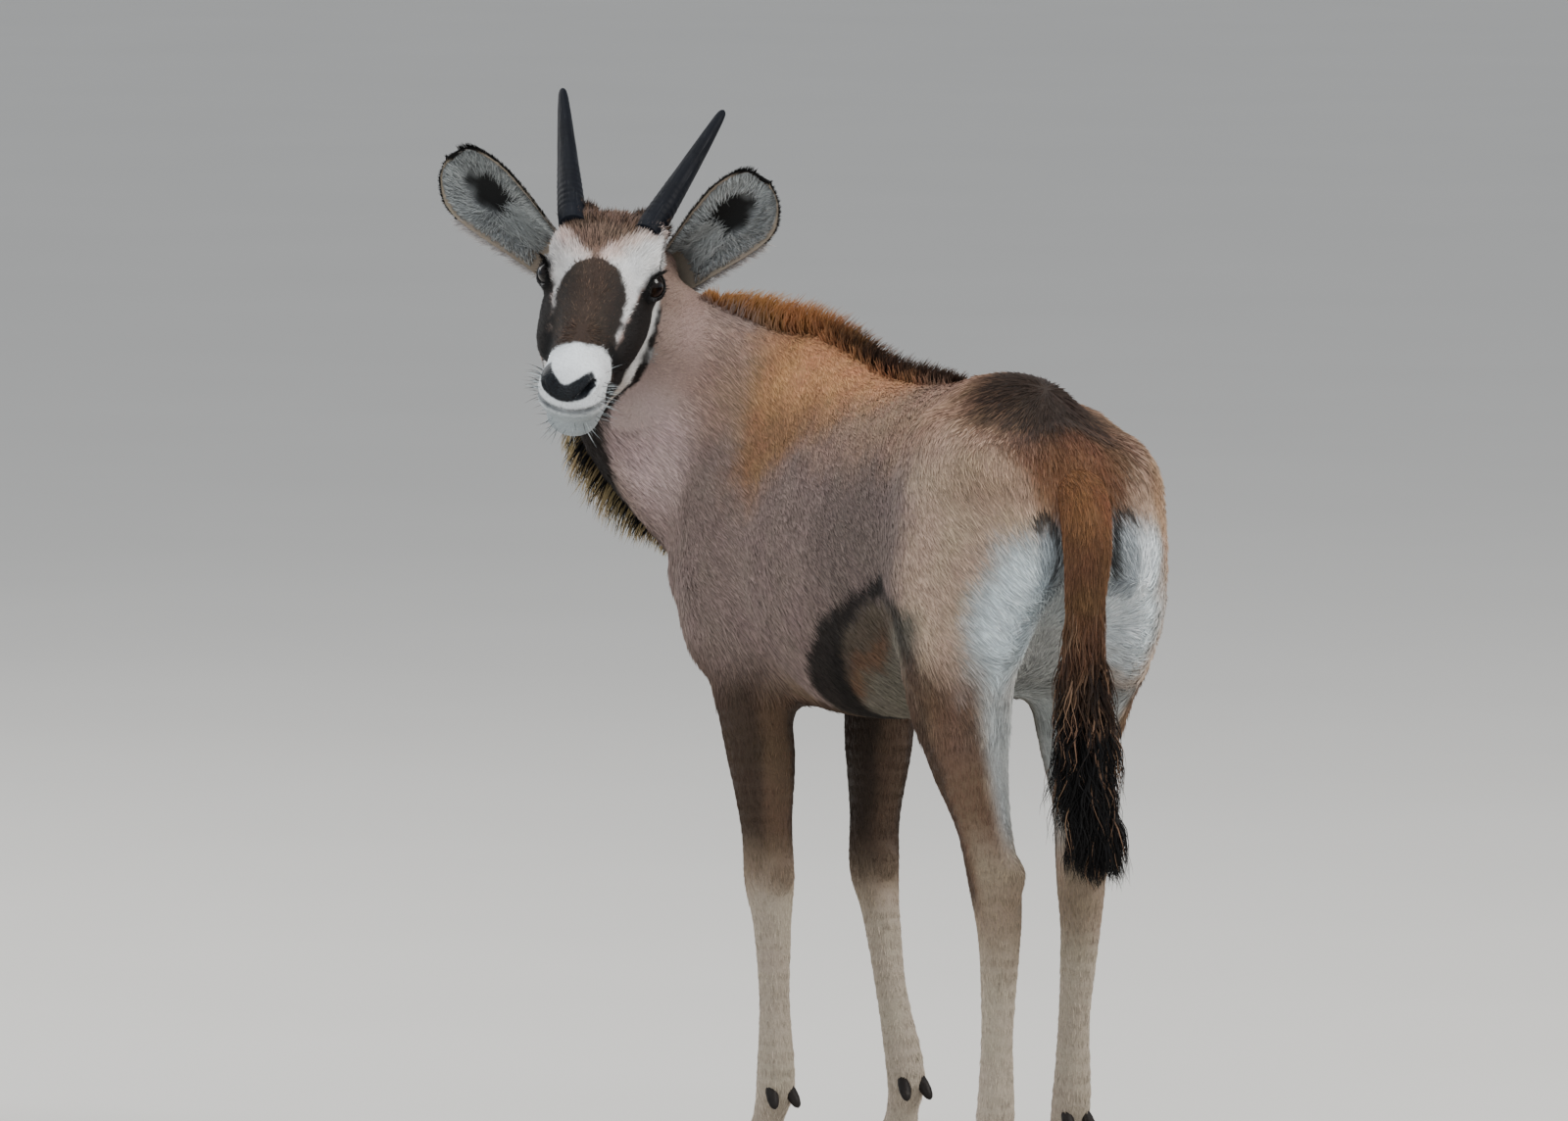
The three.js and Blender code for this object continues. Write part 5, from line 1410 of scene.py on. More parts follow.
# a black rim along the almond: its line + size * (0.9 * cos * rise + 1.2 * sin * side), thicker above
def makeLidRim(name, hand):
    steps, sides = 96, 10
    t, ring = roundCircle(steps), roundCircle(sides)[None, :, None]
    path = lidLine(hand, t)
    heading = unit(np.roll(path, -1, 0) - np.roll(path, 1, 0))
    rise = unit(path - eyeAxes(hand)[0])
    side = np.cross(heading, rise)
    size = (1.15 + 0.35 * np.clip(np.sin(t), 0, 1))[:, None, None]
    rim = path[:, None] + size * (np.cos(ring) * rise[:, None] * 0.9 + np.sin(ring) * side[:, None] * 1.2)
    points, faces = fromHead(rim.reshape(-1, 3)), gridFaces(steps + 1, sides) % (steps * sides)
    a, b, c = [points[faces[:, k]] for k in (0, 1, 2)]
    outside = points[faces].mean(1) - fromHead(path)[faces[:, 0] // sides]
    if (np.cross(b - a, c - a) * outside).sum() < 0:
        faces = faces[:, ::-1]
    addPiece(f"lidRim_{name}", points, faces, "lid",
             colour=np.tile(tones["black"] * 0.8, (len(points), 1)))


def makeLashes(name, hand, count=150):  # along the upper lid
    _, out, along, up = eyeAxes(hand)
    rng = np.random.default_rng(60 + hand)
    at = rng.uniform(0.04, 0.97, count) * np.pi
    root = lidLine(hand, at, 1.4) - 0.3 * out
    swing = np.cos(at)[:, None]
    start = unit(0.9 * out + 0.55 * up + 0.6 * swing * along + jitter(rng, count, 0.10))
    end = unit(0.9 * out - 0.15 * up + 0.9 * swing * along + jitter(rng, count, 0.12))
    length = rng.uniform(7, 12.5, count) * (0.75 + 0.45 * np.sin(at))
    points = headLocks(root, start, end, along, length, 0.55, 0.4, 5)
    addLocks(f"lashes_{name}", points, tintOf("black", rng, count),
             np.stack([at / 4, 0 * at + 0.5], 1), 5, "lid", 1.0, 1.0)


def makeLids():
    for name, hand in hands.items():
        makeLidRim(name, hand)
        makeLashes(name, hand)


horn = {
    "root": (-50, 39, 33), "inset": -2, "rise": (-0.93, 0.245, 0.275), "length": 167.0, "bow": 5.0,
    "profile": [
        (-12, 13.4), (4, 13.6), (18, 13.2), (36, 12.4), (64, 10.8), (94, 9.1), (124, 7.3), (148, 5.6),
        (158, 4.7), (164, 3.4), (167, 1.2)],
    "rows": 12, "sides": 56,
}


# the middle of a horn, root + s * rise + bow * (s / length)2 upward, its heading and two directions across it
def hornLine(hand, s):
    root = np.array(horn["root"]) * (1, hand, 1) + (0, horn["inset"], 0)
    rise = unit(np.array(horn["rise"]) * (1, hand, 1))
    bow = (horn["bow"] * (s / horn["length"]) ** 2)[:, None] * np.array([0, 0, 1])
    u = unit(np.cross(rise, [0, 0, 1]))
    return root + s[:, None] * rise + bow, rise, u, np.cross(rise, u)


def hornMap(s, r, angle, wide=1, tall=1):  # each point of a straight horn, made wider and taller
    s, r = s[:, None], r[:, None]
    rows = [np.cos(angle) * r * wide, np.sin(angle) * r * wide, s * tall + 0 * angle]
    return np.stack(rows, -1).reshape(-1, 3)


# circles along a slightly bowed line, roughened by long flakes and low rings near the root
def makeHorns():
    profile = eased([(s, r, 0) for s, r in horn["profile"]], horn["rows"])
    s, r = profile[:, 0], profile[:, 1]
    angle = roundCircle(horn["sides"])
    c, d = np.cos(angle)[None, :, None], np.sin(angle)[None, :, None]
    for name, hand in hands.items():
        middle, _, u, w = hornLine(hand, s)
        rough = ripple(hornMap(s, r, angle, 3, 0.35) + 40 * hand, 11).reshape(len(s), -1) * 0.16
        ringing = np.sin(s * 2 * np.pi / 7.5 + 1.2 * ripple(np.stack([s, s, s], 1), 31))
        rings = 0.22 * ringing * (1 - ramp(s, 30, 95))
        size = (r + rings * ramp(s, -4, 6))[:, None, None] + (rough * ramp(r, 1.5, 5)[:, None])[..., None]
        local = middle[:, None] + size * (c * u + 1.05 * d * w)
        points, faces = capped(fromHead(local.reshape(-1, 3)), len(s), horn["sides"])
        along = np.vstack([hornMap(s, r, angle), [(0, 0, s[0]), (0, 0, s[-1])]]) / 1000
        wear = np.append(np.repeat(0.25 * (1 - ramp(s, 20, 60)) + ramp(s, 118, 165), horn["sides"]), (0, 1))
        addPiece(f"hornShell_{name}", points, faces, "horn", (f"horn_{name}",),
                 extra={"along": along, "wear": wear})


ear = {
    "root": (-70, 50, -34), "reach": {"left": (8, 98, 124), "right": (8, -118, 103)},
    "profile": [
        (-0.08, 17, 15, 16), (0.04, 24, 20, 24), (0.16, 27, 23, 26), (0.3, 31, 27, 25),
        (0.44, 35.5, 31.5, 23), (0.58, 39, 35, 19), (0.7, 40, 37, 15), (0.8, 36.5, 36.5, 11),
        (0.88, 29, 34, 8), (0.94, 20, 30.5, 5), (0.97, 13, 27, 3.5), (0.99, 7, 22, 2.5),
        (1.003, 2.5, 15.5, 1.8), (1.012, 0.8, 8, 1.4)],
    "columns": 26, "inset": 0.8,
    "hair": {"inner": 2300, "plume": 560, "rim": 2000, "back": 5200, "lining": 3600},
}


def earFrame(name):  # root, reach, the way its hollow faces, and the way across it
    hand = hands[name]
    root = np.array(ear["root"]) * (1, hand, 1.0)
    reach = np.array(ear["reach"][name], float)
    length = unit(reach)
    facing = np.array([0.85, hand * 0.1, 0.1])
    facing = unit(facing - length * (facing @ length))
    return root, reach, facing, np.cross(length, facing) * hand


# a place on the ear: share of its length, v * half width across it from the upper to the lower edge, and back
# from its edges by depth * cos(v * 90 degrees), on the rear skin by its thickness too
def earPoint(name, share, v, rear=0.0):
    root, reach, facing, across = earFrame(name)
    rows = eased(ear["profile"], 6)
    lower, upper, depth = [np.interp(share, rows[:, 0], rows[:, k]) for k in (1, 2, 3)]
    lower, upper = lower - ear["inset"], upper - ear["inset"]
    side = v * np.where(v > 0, lower, upper) * (1 + 0.03 * rear)
    thick = 1.2 + (1.8 + 2.5 * (1 - share)) * np.sqrt(np.clip(1 - v * v, 0, 1))
    out = 6 * v * v * (1 - share) - depth * np.cos(v * 1.571) - rear * thick
    return root + share[..., None] * reach + side[..., None] * across + out[..., None] * facing


# pale hair about a dark hollow, a beige border, a dark line and a black tip
def earColour(share, v, front):
    flat = np.stack([share.ravel() * 120, v.ravel() * 40, 0 * v.ravel()], 1)
    wave = ripple(flat, 16).reshape(share.shape)
    colour = np.tile(tones["pale"] * 0.8, (*share.shape, 1))
    edge = np.maximum(np.abs(v), ramp(share, 0.86, 1.0))
    tip = ramp(share + 0.05 * wave, 0.86, 0.93)
    if not front:
        lower = 0.9 * ramp(-v, 0.86, 0.96) * ramp(share, 0.5, 0.62)
        return painted(colour, [("rose", 0.7 * ramp(1 - np.abs(v), 0.1, 0.6)),
                                ("black", np.maximum(tip, lower))])
    hollow = 1 - np.hypot((share - 0.55) / 0.38, (v + 0.04) / 0.72) + 0.12 * wave
    line = band(edge + 0.012 * wave, 0.90, 0.925, 0.012) * ramp(share, 0.2, 0.35)
    rim = ramp(edge, 0.985, 0.998) * ramp(share + 0.3 * (-v) + 0.05 * wave, 0.45, 0.62)
    return painted(colour, [
        ("earGrey", ramp(share, 0.12, 0.25) * (1 - ramp(edge, 0.86, 0.93))),
        ("black", 0.96 * ramp(hollow, 0, 0.45)), ("umber", 0.8 * line),
        ("black", np.maximum(rim, tip * ramp(edge, 0.88, 0.94) * ramp(-v, -0.3, 0.2)))])


# two skins over rows and columns of the ear, joined at their edges, then the hair of each part
def makeEars():
    share = eased(ear["profile"], 6)[:, 0]
    v = np.sin(np.linspace(-np.pi / 2, np.pi / 2, ear["columns"]))
    s, w = np.meshgrid(share, v, indexing="ij")
    inner = (s[:, 1:-1], w[:, 1:-1])
    for name, hand in hands.items():
        rings = np.concatenate([earPoint(name, s, w), earPoint(name, *inner, 1.0)[:, ::-1]], 1)
        points, faces = capped(fromHead(rings.reshape(-1, 3)), len(share), rings.shape[1])
        colour = np.concatenate([earColour(s, w, True), earColour(*inner, False)[:, ::-1]], 1)
        colour = np.vstack([colour.reshape(-1, 3), colour[0, :1], colour[-1, :1]])
        addPiece(f"earShell_{name}", points, faces, "ear", (f"ear_{name}",),
                 colour=colour)
        rng = np.random.default_rng(70 + hand)
        for addHair in (addInnerHair, addPlume, addRimHair, addShortHair):
            addHair(name, rng)


def earPlaces(share, v):
    return np.stack([np.clip(share, 0, 1), 0.5 + 0.48 * v], 1)


def addInnerHair(name, rng):  # long pale hair, from the border in towards the hollow
    _, reach, facing, across = earFrame(name)
    count = ear["hair"]["inner"]
    share, v = rng.uniform(0.12, 0.99, 3 * count), rng.uniform(-0.97, 0.97, 3 * count)
    ring = np.hypot((share - 0.56) / 0.37, (v + 0.04) / 0.68)
    keep = np.argsort(ring < 1, kind="stable")[:count]
    share, v, ring = share[keep], v[keep], ring[keep]
    at = earPoint(name, share, v)
    inward = unit((0.55 - share)[:, None] * reach * 0.8 - (v * 34)[:, None] * across)
    clump = ripple(at, 9, 3)[:, None] * unit(np.cross(inward, facing))
    start = unit(0.8 * inward + 0.55 * facing + 0.3 * clump + jitter(rng, count, 0.14))
    end = unit(inward - 0.10 * facing - 0.5 * clump + jitter(rng, count, 0.26))
    length = rng.uniform(6, 12, count) + 9 * ramp(1.4 - ring, 0, 0.4) * rng.random(count)
    points = headLocks(at - facing, start, end, unit(reach) + 0.2, length, rng.uniform(0.5, 1.0, count), 0.5,
                       5, 0.08, 1.0, rng.random(count))
    addLocks(f"earHair_{name}", points, tintOf("chalk", rng, count, 0.8) * 0.95, earPlaces(share, v),
             5, "ear", 0.3, 1.35)


def addPlume(name, rng):  # a white plume from the ear's root towards its hollow
    _, reach, facing, across = earFrame(name)
    count, tip = ear["hair"]["plume"], unit(reach)
    share, v = rng.uniform(0.10, 0.34, count), rng.uniform(-0.45, 0.62, count)
    at = earPoint(name, share, v)
    start = unit(tip + 0.5 * facing + jitter(rng, count, 0.12))
    end = unit(tip - (0.25 * v)[:, None] * across + 0.05 * facing + jitter(rng, count, 0.22))
    points = headLocks(at - facing, start, end, across, rng.uniform(20, 38, count),
                       rng.uniform(0.7, 1.2, count), 0.6, 6, 0.06, 1.1, rng.random(count))
    addLocks(f"earPlume_{name}", points, tintOf("chalk", rng, count, 0.5) * 1.25,
             earPlaces(share, v), 6, "ear", 0.6, 1.1)


def addRimHair(name, rng):  # short hair along both edges, black at the tip and white along the lower edge
    _, reach, facing, across = earFrame(name)
    count, tip = ear["hair"]["rim"], unit(reach)
    share = rng.uniform(0.05, 1.0, count)
    low = rng.random(count) < 0.5
    side = np.where(low, 1, -1)
    v = side * rng.uniform(0.95, 1.0, count)
    at = earPoint(name, share, v, rng.uniform(0, 1, count))
    outside = unit(side[:, None] * across + (ramp(share, 0.84, 0.98) * 1.8)[:, None] * tip)
    white = low & (share < 0.66)
    loose = (0.16 + 0.16 * white)[:, None]
    start = unit(outside + 0.5 * tip + loose * jitter(rng, count, 1))
    end = unit(0.7 * outside + 0.9 * tip + loose * jitter(rng, count, 1.3))
    length = np.where(white, rng.uniform(5, 17, count) * (0.5 + 0.5 * (v > 0.97)),
                      rng.uniform(1.5, 4.5, count) + 4 * ramp(share, 0.85, 0.97) * (v < 0.3))
    dark = ((share + 0.3 * ~low) > 0.62) | (rng.random(count) < 0.12)
    colour = np.where((dark & ~white)[:, None], tintOf("black", rng, count),
                      tintOf("shade", rng, count, 0.6))
    points = headLocks(at, start, end, facing, length, 0.65, 0.45, 4)
    addLocks(f"earRim_{name}", points, colour, earPlaces(share, v), 4, "ear", 0.7)


def addShortHair(name, rng):  # tufts over the ear's back, and over its hollow
    facing, turn = earFrame(name)[2], head["axes"].T
    for part, rear, size in (("Back", 1.0, 6.0), ("Lining", 0.0, 4.5)):
        count = ear["hair"][part.lower()]
        share, v = rng.uniform(-0.02, 1.0, count), np.sin(rng.uniform(-1.5, 1.5, count))
        at = earPoint(name, share, v, rear)
        ahead, side = earPoint(name, share + 0.01, v, rear) - at, earPoint(name, share, v + 0.01, rear) - at
        normal = unit(np.cross(ahead, side))
        normal *= np.sign((normal @ facing) * (0.5 - rear))[:, None]
        lie = unit(ahead + 0.3 * side * rng.normal(0, 1, count)[:, None])
        points = tufts(at @ turn, normal @ turn, lie @ turn, size, 1.1, 12, rng) + head["place"]
        shade = 0.7 + 0.5 * rng.random((count, 1))
        colours = tuftColours(earColour(share, v, not rear) * shade, 0.7, 1.25)
        addTufts(f"ear{part}_{name}", points, colours, earPlaces(share, v), "ear")


claws = {
    "hind": (-248, 78), "fore": (223, 72), "gap": 1.6, "sides": 48, "rows": 6,
    "levels": [  # height, toe, heel and width
        (0.4, 33.4, -21.6, 19.6), (1.2, 34, -22, 20), (6, 33, -22.8, 20.4), (14, 30, -22.4, 20.4),
        (24, 26, -21, 20), (32, 21.5, -19.4, 19.2), (35.8, 19, -18.4, 18.4)],
}
dewclaws = {
    "hind": (-289, 78), "fore": (186, 72), "height": 96, "aside": 10, "sides": 24, "rows": 26,
    "profile": [(-4, 2, 10, 16, 19, 21), (5.6, 6.2, 6.1, 4.8, 3.4, 1.0)],
}


# an egg-shaped half hoof: half length * cos ^ 0.9 along it, and on the outside width * taper * sin ^ 0.75,
# so it is flat inside, round outside and narrow at the toe
def clawRing(toe, heel, wide, side, sides):
    angle = roundCircle(sides)
    c, s = np.cos(angle), np.sin(angle)
    x = (toe - heel) / 2 * np.sign(c) * np.abs(c) ** 0.9 + (toe + heel) / 2
    taper = 1 - 0.55 * ramp(x, 0.1 * toe, toe) - 0.28 * ramp(-x, 0.2 * -heel, -heel)
    y = np.where(s > 0, wide * taper * np.abs(s) ** 0.75, 0)
    return x, claws["gap"] * side + y * side


def makeClaw(leg, end, mark, side):
    rows, sides = eased(claws["levels"], claws["rows"]), claws["sides"]
    middle = np.array([claws[end][0] + stride(leg, 40), claws[end][1] * handOf(leg)])
    rings = []
    for z, toe, heel, wide in rows:
        x, y = clawRing(toe, heel, wide - claws["gap"], side, sides)
        rings.append(np.stack([middle[0] + x, middle[1] + y, np.full(sides, z)], 1))
    rings = np.array(rings)
    low = 0.16 * ripple(rings.reshape(-1, 3) * (0.4, 0.4, 3.2), 13).reshape(rings.shape[:2])
    away = unit((rings - rings.mean(1, keepdims=True)) * (1, 1, 0))
    points, faces = capped((rings - away * np.abs(low)[..., None]).reshape(-1, 3), len(rows), sides)
    addPiece(f"claw_{leg}_{mark}", points, faces, "hoof", (f"hoof_{leg}_{mark}",),
             extra={"along": points / 1000, "wear": 0.2 + 0.8 * (1 - ramp(points[:, 2], 2, 12))})


# a blunt cone that hangs backward: circles of its profile's size along a straight line
def makeDewclaw(leg, end, mark, side):
    x, y = dewclaws[end]
    drop, across = unit(np.array([-0.62, side * 0.12, -0.78])), np.array([0.0, 1, 0])
    deep = unit(np.cross(drop, across))
    s = np.linspace(-4, 21, dewclaws["rows"])
    size = np.interp(s, *dewclaws["profile"])[:, None, None]
    ring = roundCircle(dewclaws["sides"])[None, :, None]
    spot = np.array([x + stride(leg, 88), y * handOf(leg) + side * dewclaws["aside"], dewclaws["height"]])
    shell = spot + s[:, None, None] * drop + size * (np.cos(ring) * across + 0.8 * np.sin(ring) * deep)
    points, faces = capped(shell.reshape(-1, 3), dewclaws["rows"], dewclaws["sides"])
    addPiece(f"spur_{leg}_{mark}", points, faces, "hoof", (f"dewclaw_{leg}_{mark}",),
             extra={"along": points / 1000, "wear": 0.3 + 0 * points[:, 0]})


def makeHooves():
    for leg in strides:
        for mark, side in (("a", 1), ("b", -1)):
            for make in (makeClaw, makeDewclaw):
                make(leg, leg.split("_")[0], mark, side)


def curveAt(guide, t, *columns):  # smooth points along a guide at shares of it, and any columns with them
    rows = eased([(*p, *extra) for p, *extra in zip(guide, *columns)], 12)
    at = np.linspace(0, 1, len(rows))
    return np.stack([np.interp(t, at, rows[:, k]) for k in range(rows.shape[1])], 1)


mane = {
    "guide": [
        (330, 62, 855), (306, 44, 846), (278, 26, 838), (248, 14, 830), (215, 4, 824), (175, 0, 816),
        (130, 0, 806), (80, 0, 797), (30, 0, 792), (-20, 0, 792), (-60, 0, 796)],
    "heights": [7, 25, 34, 33, 30, 27, 26, 25, 23, 18, 11],
    "locks": 3600, "wide": 13.0, "rings": 6,
}
throatFringe = {
    "guide": [
        (478, 140, 722), (474, 118, 700), (460, 94, 676), (444, 76, 650), (430, 66, 628), (412, 54, 604)],
    "heights": [26, 42, 46, 38, 24, 12], "locks": 1500, "wide": 22.0, "rings": 6,
}


def crestRoots(form, count, rng):  # roots scattered to both sides of a guide, settled onto the skin
    t = rng.random(count)
    rows = curveAt(form["guide"], t, form["heights"])
    ahead, behind = [curveAt(form["guide"], np.clip(t + step, 0, 1)) for step in (0.01, -0.01)]
    heading = unit(ahead - behind)
    points = settled(skinField, rows[:, :3], 5, 30)
    _, g = slopeOf(skinField, points)
    out = unit(g)
    across = unit(np.cross(heading, out))
    side = np.clip(rng.normal(0, 0.42, count), -1, 1)
    points = settled(skinField, points + across * (side * form["wide"])[:, None], 3, 20)
    _, g = slopeOf(skinField, points)
    return t, side, points, unit(g), heading, across, rows[:, 3]


def makeMane():  # upright locks along the crest: forward at its front end, and leaning back along the rest
    rng = np.random.default_rng(81)
    count = mane["locks"]
    t, side, root, out, heading, across, height = crestRoots(mane, count, rng)
    lean = np.where(t < 0.05, -0.5, 0.36 + 0.6 * t)[:, None]
    group = ripple(root, 12, 5)[:, None]
    start = unit(out + 0.4 * lean * heading + (0.32 * side)[:, None] * across + jitter(rng, count, 0.09))
    end = unit(0.75 * out + lean * heading + (0.7 * side)[:, None] * across + 0.25 * group * across
               + 0.8 * group * heading + jitter(rng, count, 0.12))
    length = height * rng.uniform(0.75, 1.2, count) * (1 - 0.45 * side ** 2) * (1 + 0.45 * group[:, 0]) + 3
    points = locks(root - out * 1.5, start, end, heading, length, rng.uniform(0.9, 1.7, count), 0.9,
                   mane["rings"], 0.045, 0.8, rng.random(count))
    dark = ramp(t + 0.05 * group[:, 0] + 0.16 * (rng.random(count) - 0.5), 0.34, 0.64)[:, None]
    tip = tones["maneGold"] * (1 - dark) + tones["maneBrown"] * dark
    base = tones["maneRust"] * (1 - dark) + tones["maneBlack"] * dark
    shade = rng.uniform(0.6, 1.3, (count, 1, 1)) * (1 + 0.15 * group[:, :, None])
    share = (lockShares(mane["rings"]) ** 1.2)[None, :, None]
    colour = (base[:, None] * (1 - share) + tip[:, None] * share) * shade
    outer = ramp(np.abs(side) + 0.3 * (rng.random(count) - 0.5), 0.35, 0.9)[:, None, None]
    colour = colour * (1 - outer) + coatColour(root, out)[:, None] * outer * (0.7 + 0.5 * share)
    addTufts("maneHair", points, colour, np.stack([t, 0.5 + 0.45 * side], 1), "long",
             lockFaces(mane["rings"]))


def makeFringe():  # locks hanging from the throat: black at its sides and tan towards their tips
    rng = np.random.default_rng(82)
    count = throatFringe["locks"]
    t, side, root, out, heading, across, height = crestRoots(throatFringe, count, rng)
    down = np.array([0, 0, -1.0])
    start = unit(out + 0.35 * down + (0.25 * side)[:, None] * across + jitter(rng, count, 0.12))
    end = unit(0.25 * out + down + (0.3 * side)[:, None] * across + jitter(rng, count, 0.16))
    length = height * rng.uniform(0.65, 1.25, count) * (1 - 0.4 * side ** 2) + 5
    points = locks(root - out * 1.5, start, end, heading, length, rng.uniform(0.9, 1.7, count), 0.8,
                   throatFringe["rings"], 0.04, 0.9, rng.random(count))
    tan = ((rng.random(count) < 0.66) & (np.abs(side) < 0.75))[:, None]
    colour = np.where(tan, tones["fringe"] * rng.uniform(0.6, 1.2, (count, 1)),
                      tintOf("black", rng, count) * 1.3)
    addLocks("fringeHair", points, colour, np.stack([t, 0.5 + 0.45 * side], 1),
             throatFringe["rings"], deep=0.45, bright=1.2)


tail = {
    "stations": [
        (-278, 0, 716, 23, 19, 19, 0), (-318, 7, 698, 24, 20, 20, 0), (-344, 16, 655, 22.5, 18.5, 18.5, 0),
        (-350, 22, 600, 18, 15, 15, 0), (-349, 22, 540, 14, 12, 12, 0), (-349, 20, 485, 12, 10, 10, 0),
        (-350, 17, 434, 10, 8, 8, 0), (-352, 10, 400, 8, 6, 6, 0), (-353, 5, 380, 5, 4, 4, 0)],
    "steps": 16, "sides": 40, "shortHair": 10000, "locks": 3400, "rings": 9,
}


# a point on the tail's core, middle + cos * half width across + sin * half height up, and its outward normal,
# by share of the tail's length and angle round it
def tailAt(t, angle):
    rows = eased(tail["stations"], tail["steps"])
    _, across, up = axesAlong(rows)
    at = np.linspace(0, 1, len(rows))
    row, side, rise = [np.stack([np.interp(t, at, part[:, k]) for k in range(part.shape[1])], 1)
                       for part in (rows, across, up)]
    c, s = np.cos(angle)[:, None], np.sin(angle)[:, None]
    point = row[:, :3] + c * side * row[:, 3:4] + s * rise * row[:, 4:5]
    return point, unit(c * side / row[:, 3:4] + s * rise / row[:, 4:5])


# black low down, then brown, then rust at the root
def tailColour(z, wave):
    dark, high = ramp(z + 22 * wave, 480, 640)[:, None], ramp(z, 640, 705)[:, None]
    brown = tones["tailBrown"] + (tones["rust"] - tones["tailBrown"]) * high
    return tones["black"] * (1 - dark) + brown * dark


def makeTailCore():  # an oval tube
    count, sides = len(eased(tail["stations"], tail["steps"])), tail["sides"]
    t, angle = np.meshgrid(np.linspace(0, 1, count), roundCircle(sides), indexing="ij")
    points, faces = capped(tailAt(t.ravel(), angle.ravel())[0], count, sides)
    addPiece("tailCore", points, faces, "coat", ("tail",),
             colour=tailColour(points[:, 2], ripple(points, 25)) * 0.8)


def addTailShortHair(rng):  # over the upper part
    count = tail["shortHair"]
    t, angle = rng.uniform(0.02, 0.66, count), rng.uniform(0, 2 * np.pi, count)
    root, out = tailAt(t, angle)
    lie = unit(tailAt(t + 0.01, angle)[0] - root)
    loose = ramp(t, 0.3, 0.6)
    points = tufts(root, out, lie, 13 + 9 * loose, 1.9, 8 + 4 * loose, rng)
    colour = tailColour(root[:, 2], ripple(root, 25)) * rng.uniform(0.5, 1.35, (count, 1))
    addTufts("tailShortHair", points, tuftColours(colour, 0.6, 1.35),
             np.stack([t, angle / (2 * np.pi)], 1), "coat")


def addTailTuft(rng):  # long wavy black locks below, a few of them brown
    count = tail["locks"]
    t, angle = 0.34 + 0.6 * rng.random(count) ** 0.9, rng.uniform(0, 2 * np.pi, count)
    root, out = tailAt(t, angle)
    down = np.array([0, 0, -1.0])
    full = ramp(t, 0.33, 0.55)
    group = np.stack([ripple(root, 34, k) for k in (0, 4, 7)], 1)
    flare = (0.2 + 1.15 * full * (1 - 0.5 * ramp(t, 0.75, 1.0)) * rng.uniform(0.4, 1.1, count))[:, None]
    start = unit(down + flare * out * (0.6, 1, 1) + 0.3 * group * full[:, None] + jitter(rng, count, 0.07))
    end = unit(down - 0.42 * flare * out + 0.36 * group[:, ::-1] * full[:, None] + jitter(rng, count, 0.09))
    length = (30 + 52 * full) * rng.uniform(0.7, 1.15, count) * (1 - 0.3 * ramp(t, 0.8, 1.0))
    length = np.minimum(length, (root[:, 2] - 346) * rng.uniform(0.7, 1.1, count) + 14)
    points = locks(root - out * 2, start, end, np.cross(out, down) + 0.01, length,
                   rng.uniform(1.3, 2.4, count), 0.9, tail["rings"],
                   0.04 + 0.07 * rng.random(count) * full, rng.uniform(0.9, 1.6, count),
                   rng.random(count) * 0.16 + ripple(root, 45, 2))
    colour = tailColour(root[:, 2] - 20, ripple(root, 25)) * rng.uniform(0.6, 1.5, (count, 1))
    brown = 0.06 + 0.16 * ramp(root[:, 2] + 50 * ripple(root, 40, 6), 430, 560)
    colour = np.where((rng.random(count) < brown)[:, None],
                      tones["tuftBrown"] * rng.uniform(0.6, 1.2, (count, 1)), colour)
    addLocks("tailTuft", points, colour, np.stack([np.clip(t, 0, 1), angle / (2 * np.pi)], 1),
             tail["rings"], deep=0.55, bright=1.5)


def makeTail():
    makeTailCore()
    rng = np.random.default_rng(90)
    addTailShortHair(rng)
    addTailTuft(rng)


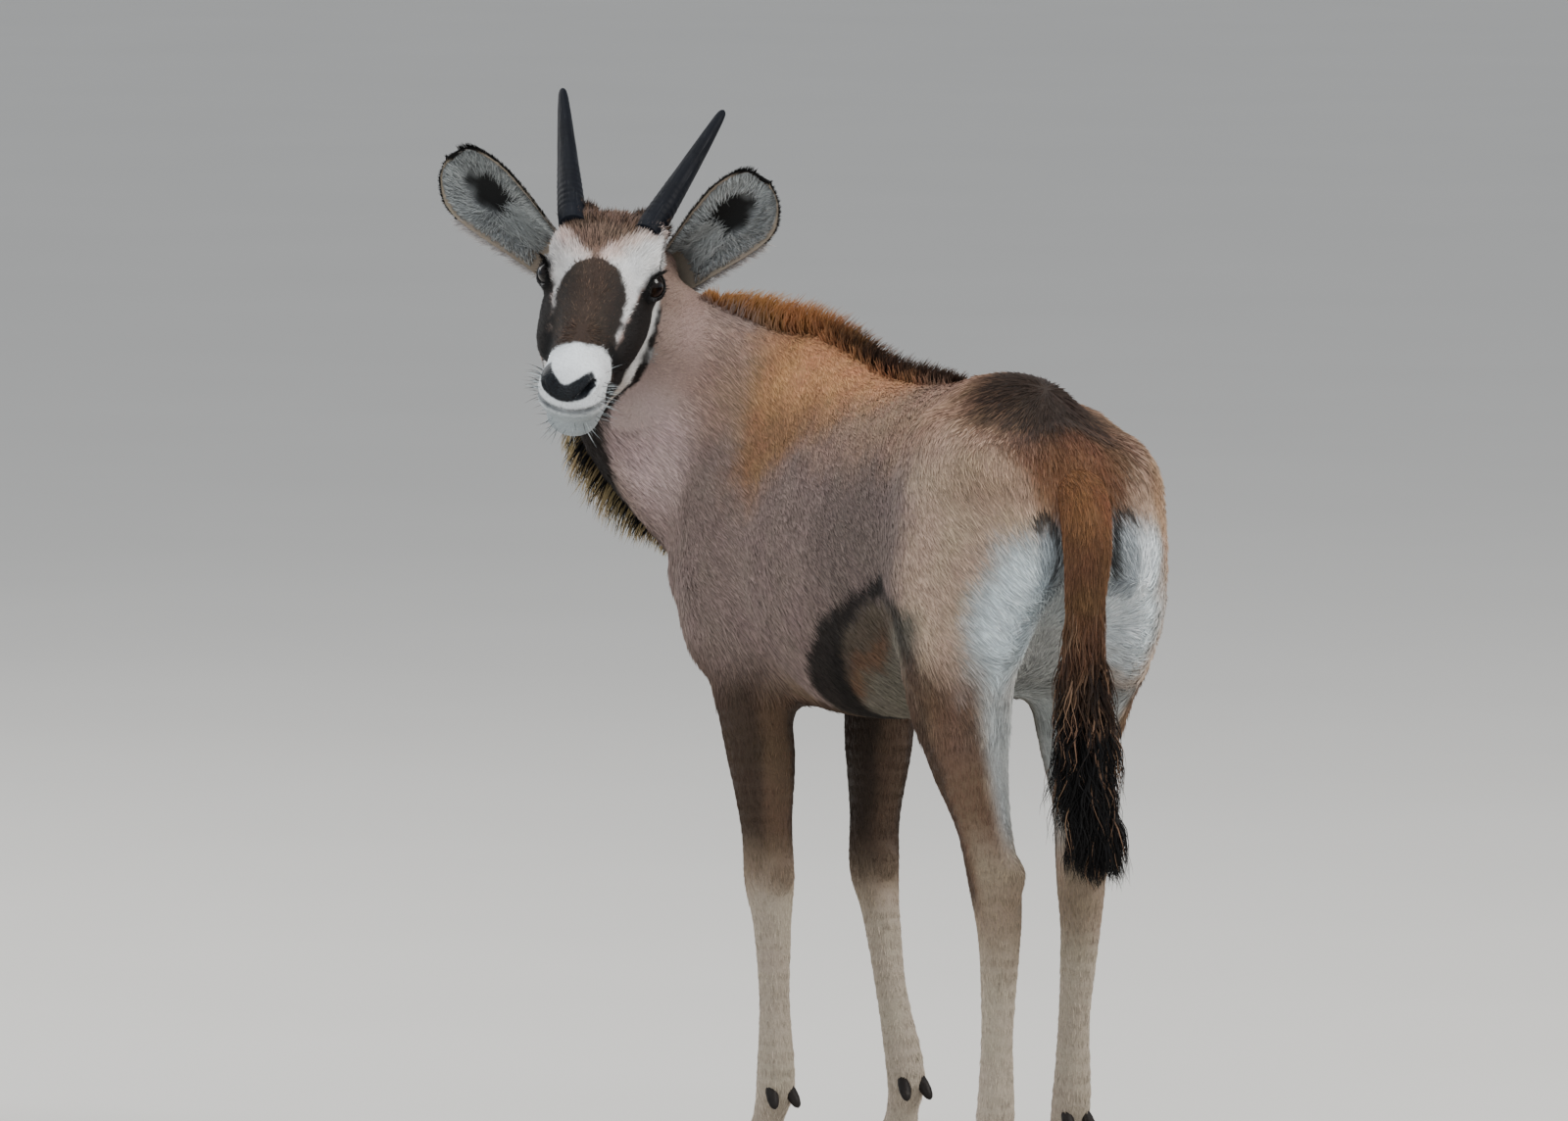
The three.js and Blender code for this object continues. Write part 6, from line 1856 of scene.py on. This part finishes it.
def makeCrown():  # dark tufts about the foot of each horn and between them
    rng = np.random.default_rng(95)
    count = 1600
    hand = np.where(rng.random(count) < 0.5, 1, -1)
    angle, size = rng.uniform(0, 2 * np.pi, count), rng.uniform(11.5, 21, count)
    base, start, end = np.zeros((3, count, 3))
    for side in (1, -1):
        middle, rise, u, w = hornLine(side, np.array([6.0]))
        some = hand == side
        radial = np.cos(angle[some])[:, None] * u + np.sin(angle[some])[:, None] * w
        base[some] = middle + radial * size[some, None]
        start[some] = unit(0.55 * radial + 0.8 * rise)
        end[some] = unit(0.12 * radial + rise + [0, 0, 0.06])
    between = rng.random(count) < 0.3
    x, y, flat = rng.uniform(-74, -34, count), rng.uniform(-26, 26, count), 0 * angle
    base[between] = np.stack([x, y, flat + 44], 1)[between]
    start[between] = unit(np.stack([-0.6 + flat, 0.4 * y / 26, 0.8 + flat], 1))[between]
    end[between] = unit(np.stack([-0.95 + flat, 0.5 * y / 26, 0.3 + flat], 1))[between]
    root = settled(skinField, fromHead(base), 5, 20)
    keep = intoHead(root)[:, 2] > -4
    turn, loose = head["axes"].T, jitter(rng, count, 0.14)
    start, end = unit(start + loose), unit(end + 1.4 * loose)
    length = rng.uniform(7, 17, count) * np.where(between, 0.8, 1)
    points = locks(root, start @ turn, end @ turn, np.cross(start, end + 0.01) @ turn + 0.01, length,
                   rng.uniform(0.8, 1.4, count), 0.6, 5, 0.03, 0.8, rng.random(count))
    brown = rng.random(count) < np.where(between, 0.6, 0.25)
    colour = np.where(brown[:, None], tintOf("bark", rng, count, 0.5), tintOf("umber", rng, count, 0.6))
    addLocks("crownHair", points[keep], colour[keep], unwrapHead(root[keep]), 5, deep=0.5,
             bright=1.3)


def makeWhiskers():  # fine pale and dark bristles on the lips and the chin
    rng = np.random.default_rng(97)
    count = 170
    hand = np.where(rng.random(count) < 0.5, 1, -1)
    chin = rng.random(count) < 0.42
    x = np.where(chin, rng.uniform(118, 158, count), rng.uniform(128, 160, count))
    z = np.where(chin, rng.uniform(-100, -72, count), rng.uniform(-56, -30, count))
    y = np.where(chin, rng.uniform(0, 26, count), rng.uniform(22, 36, count)) * hand
    root = settled(skinField, fromHead(np.stack([x, y, z], 1)), 6, 20)
    _, g = slopeOf(skinField, root)
    out = unit(g)
    back = np.array([-0.3, 0, -0.5]) @ head["axes"].T
    start = unit(out + jitter(rng, count, 0.2))
    end = unit(out + 0.9 * back + jitter(rng, count, 0.25))
    length = np.where(chin, rng.uniform(9, 24, count), rng.uniform(7, 20, count))
    points = locks(root, start, end, np.cross(out, back) + 0.01, length, 0.42, 0.34, 6)
    colour = np.where(rng.random((count, 1)) < 0.45, tintOf("black", rng, count),
                      tintOf("white", rng, count) * 0.8)
    addLocks("whiskers", points, colour, unwrapHead(root), 6, "lid", 1, 1)


for make in (makeEyes, makeLids, makeHorns, makeEars, makeHooves, makeMane, makeFringe, makeTail, makeCrown,
             makeWhiskers):
    make()
    report(make.__name__)

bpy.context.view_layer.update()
report("done")
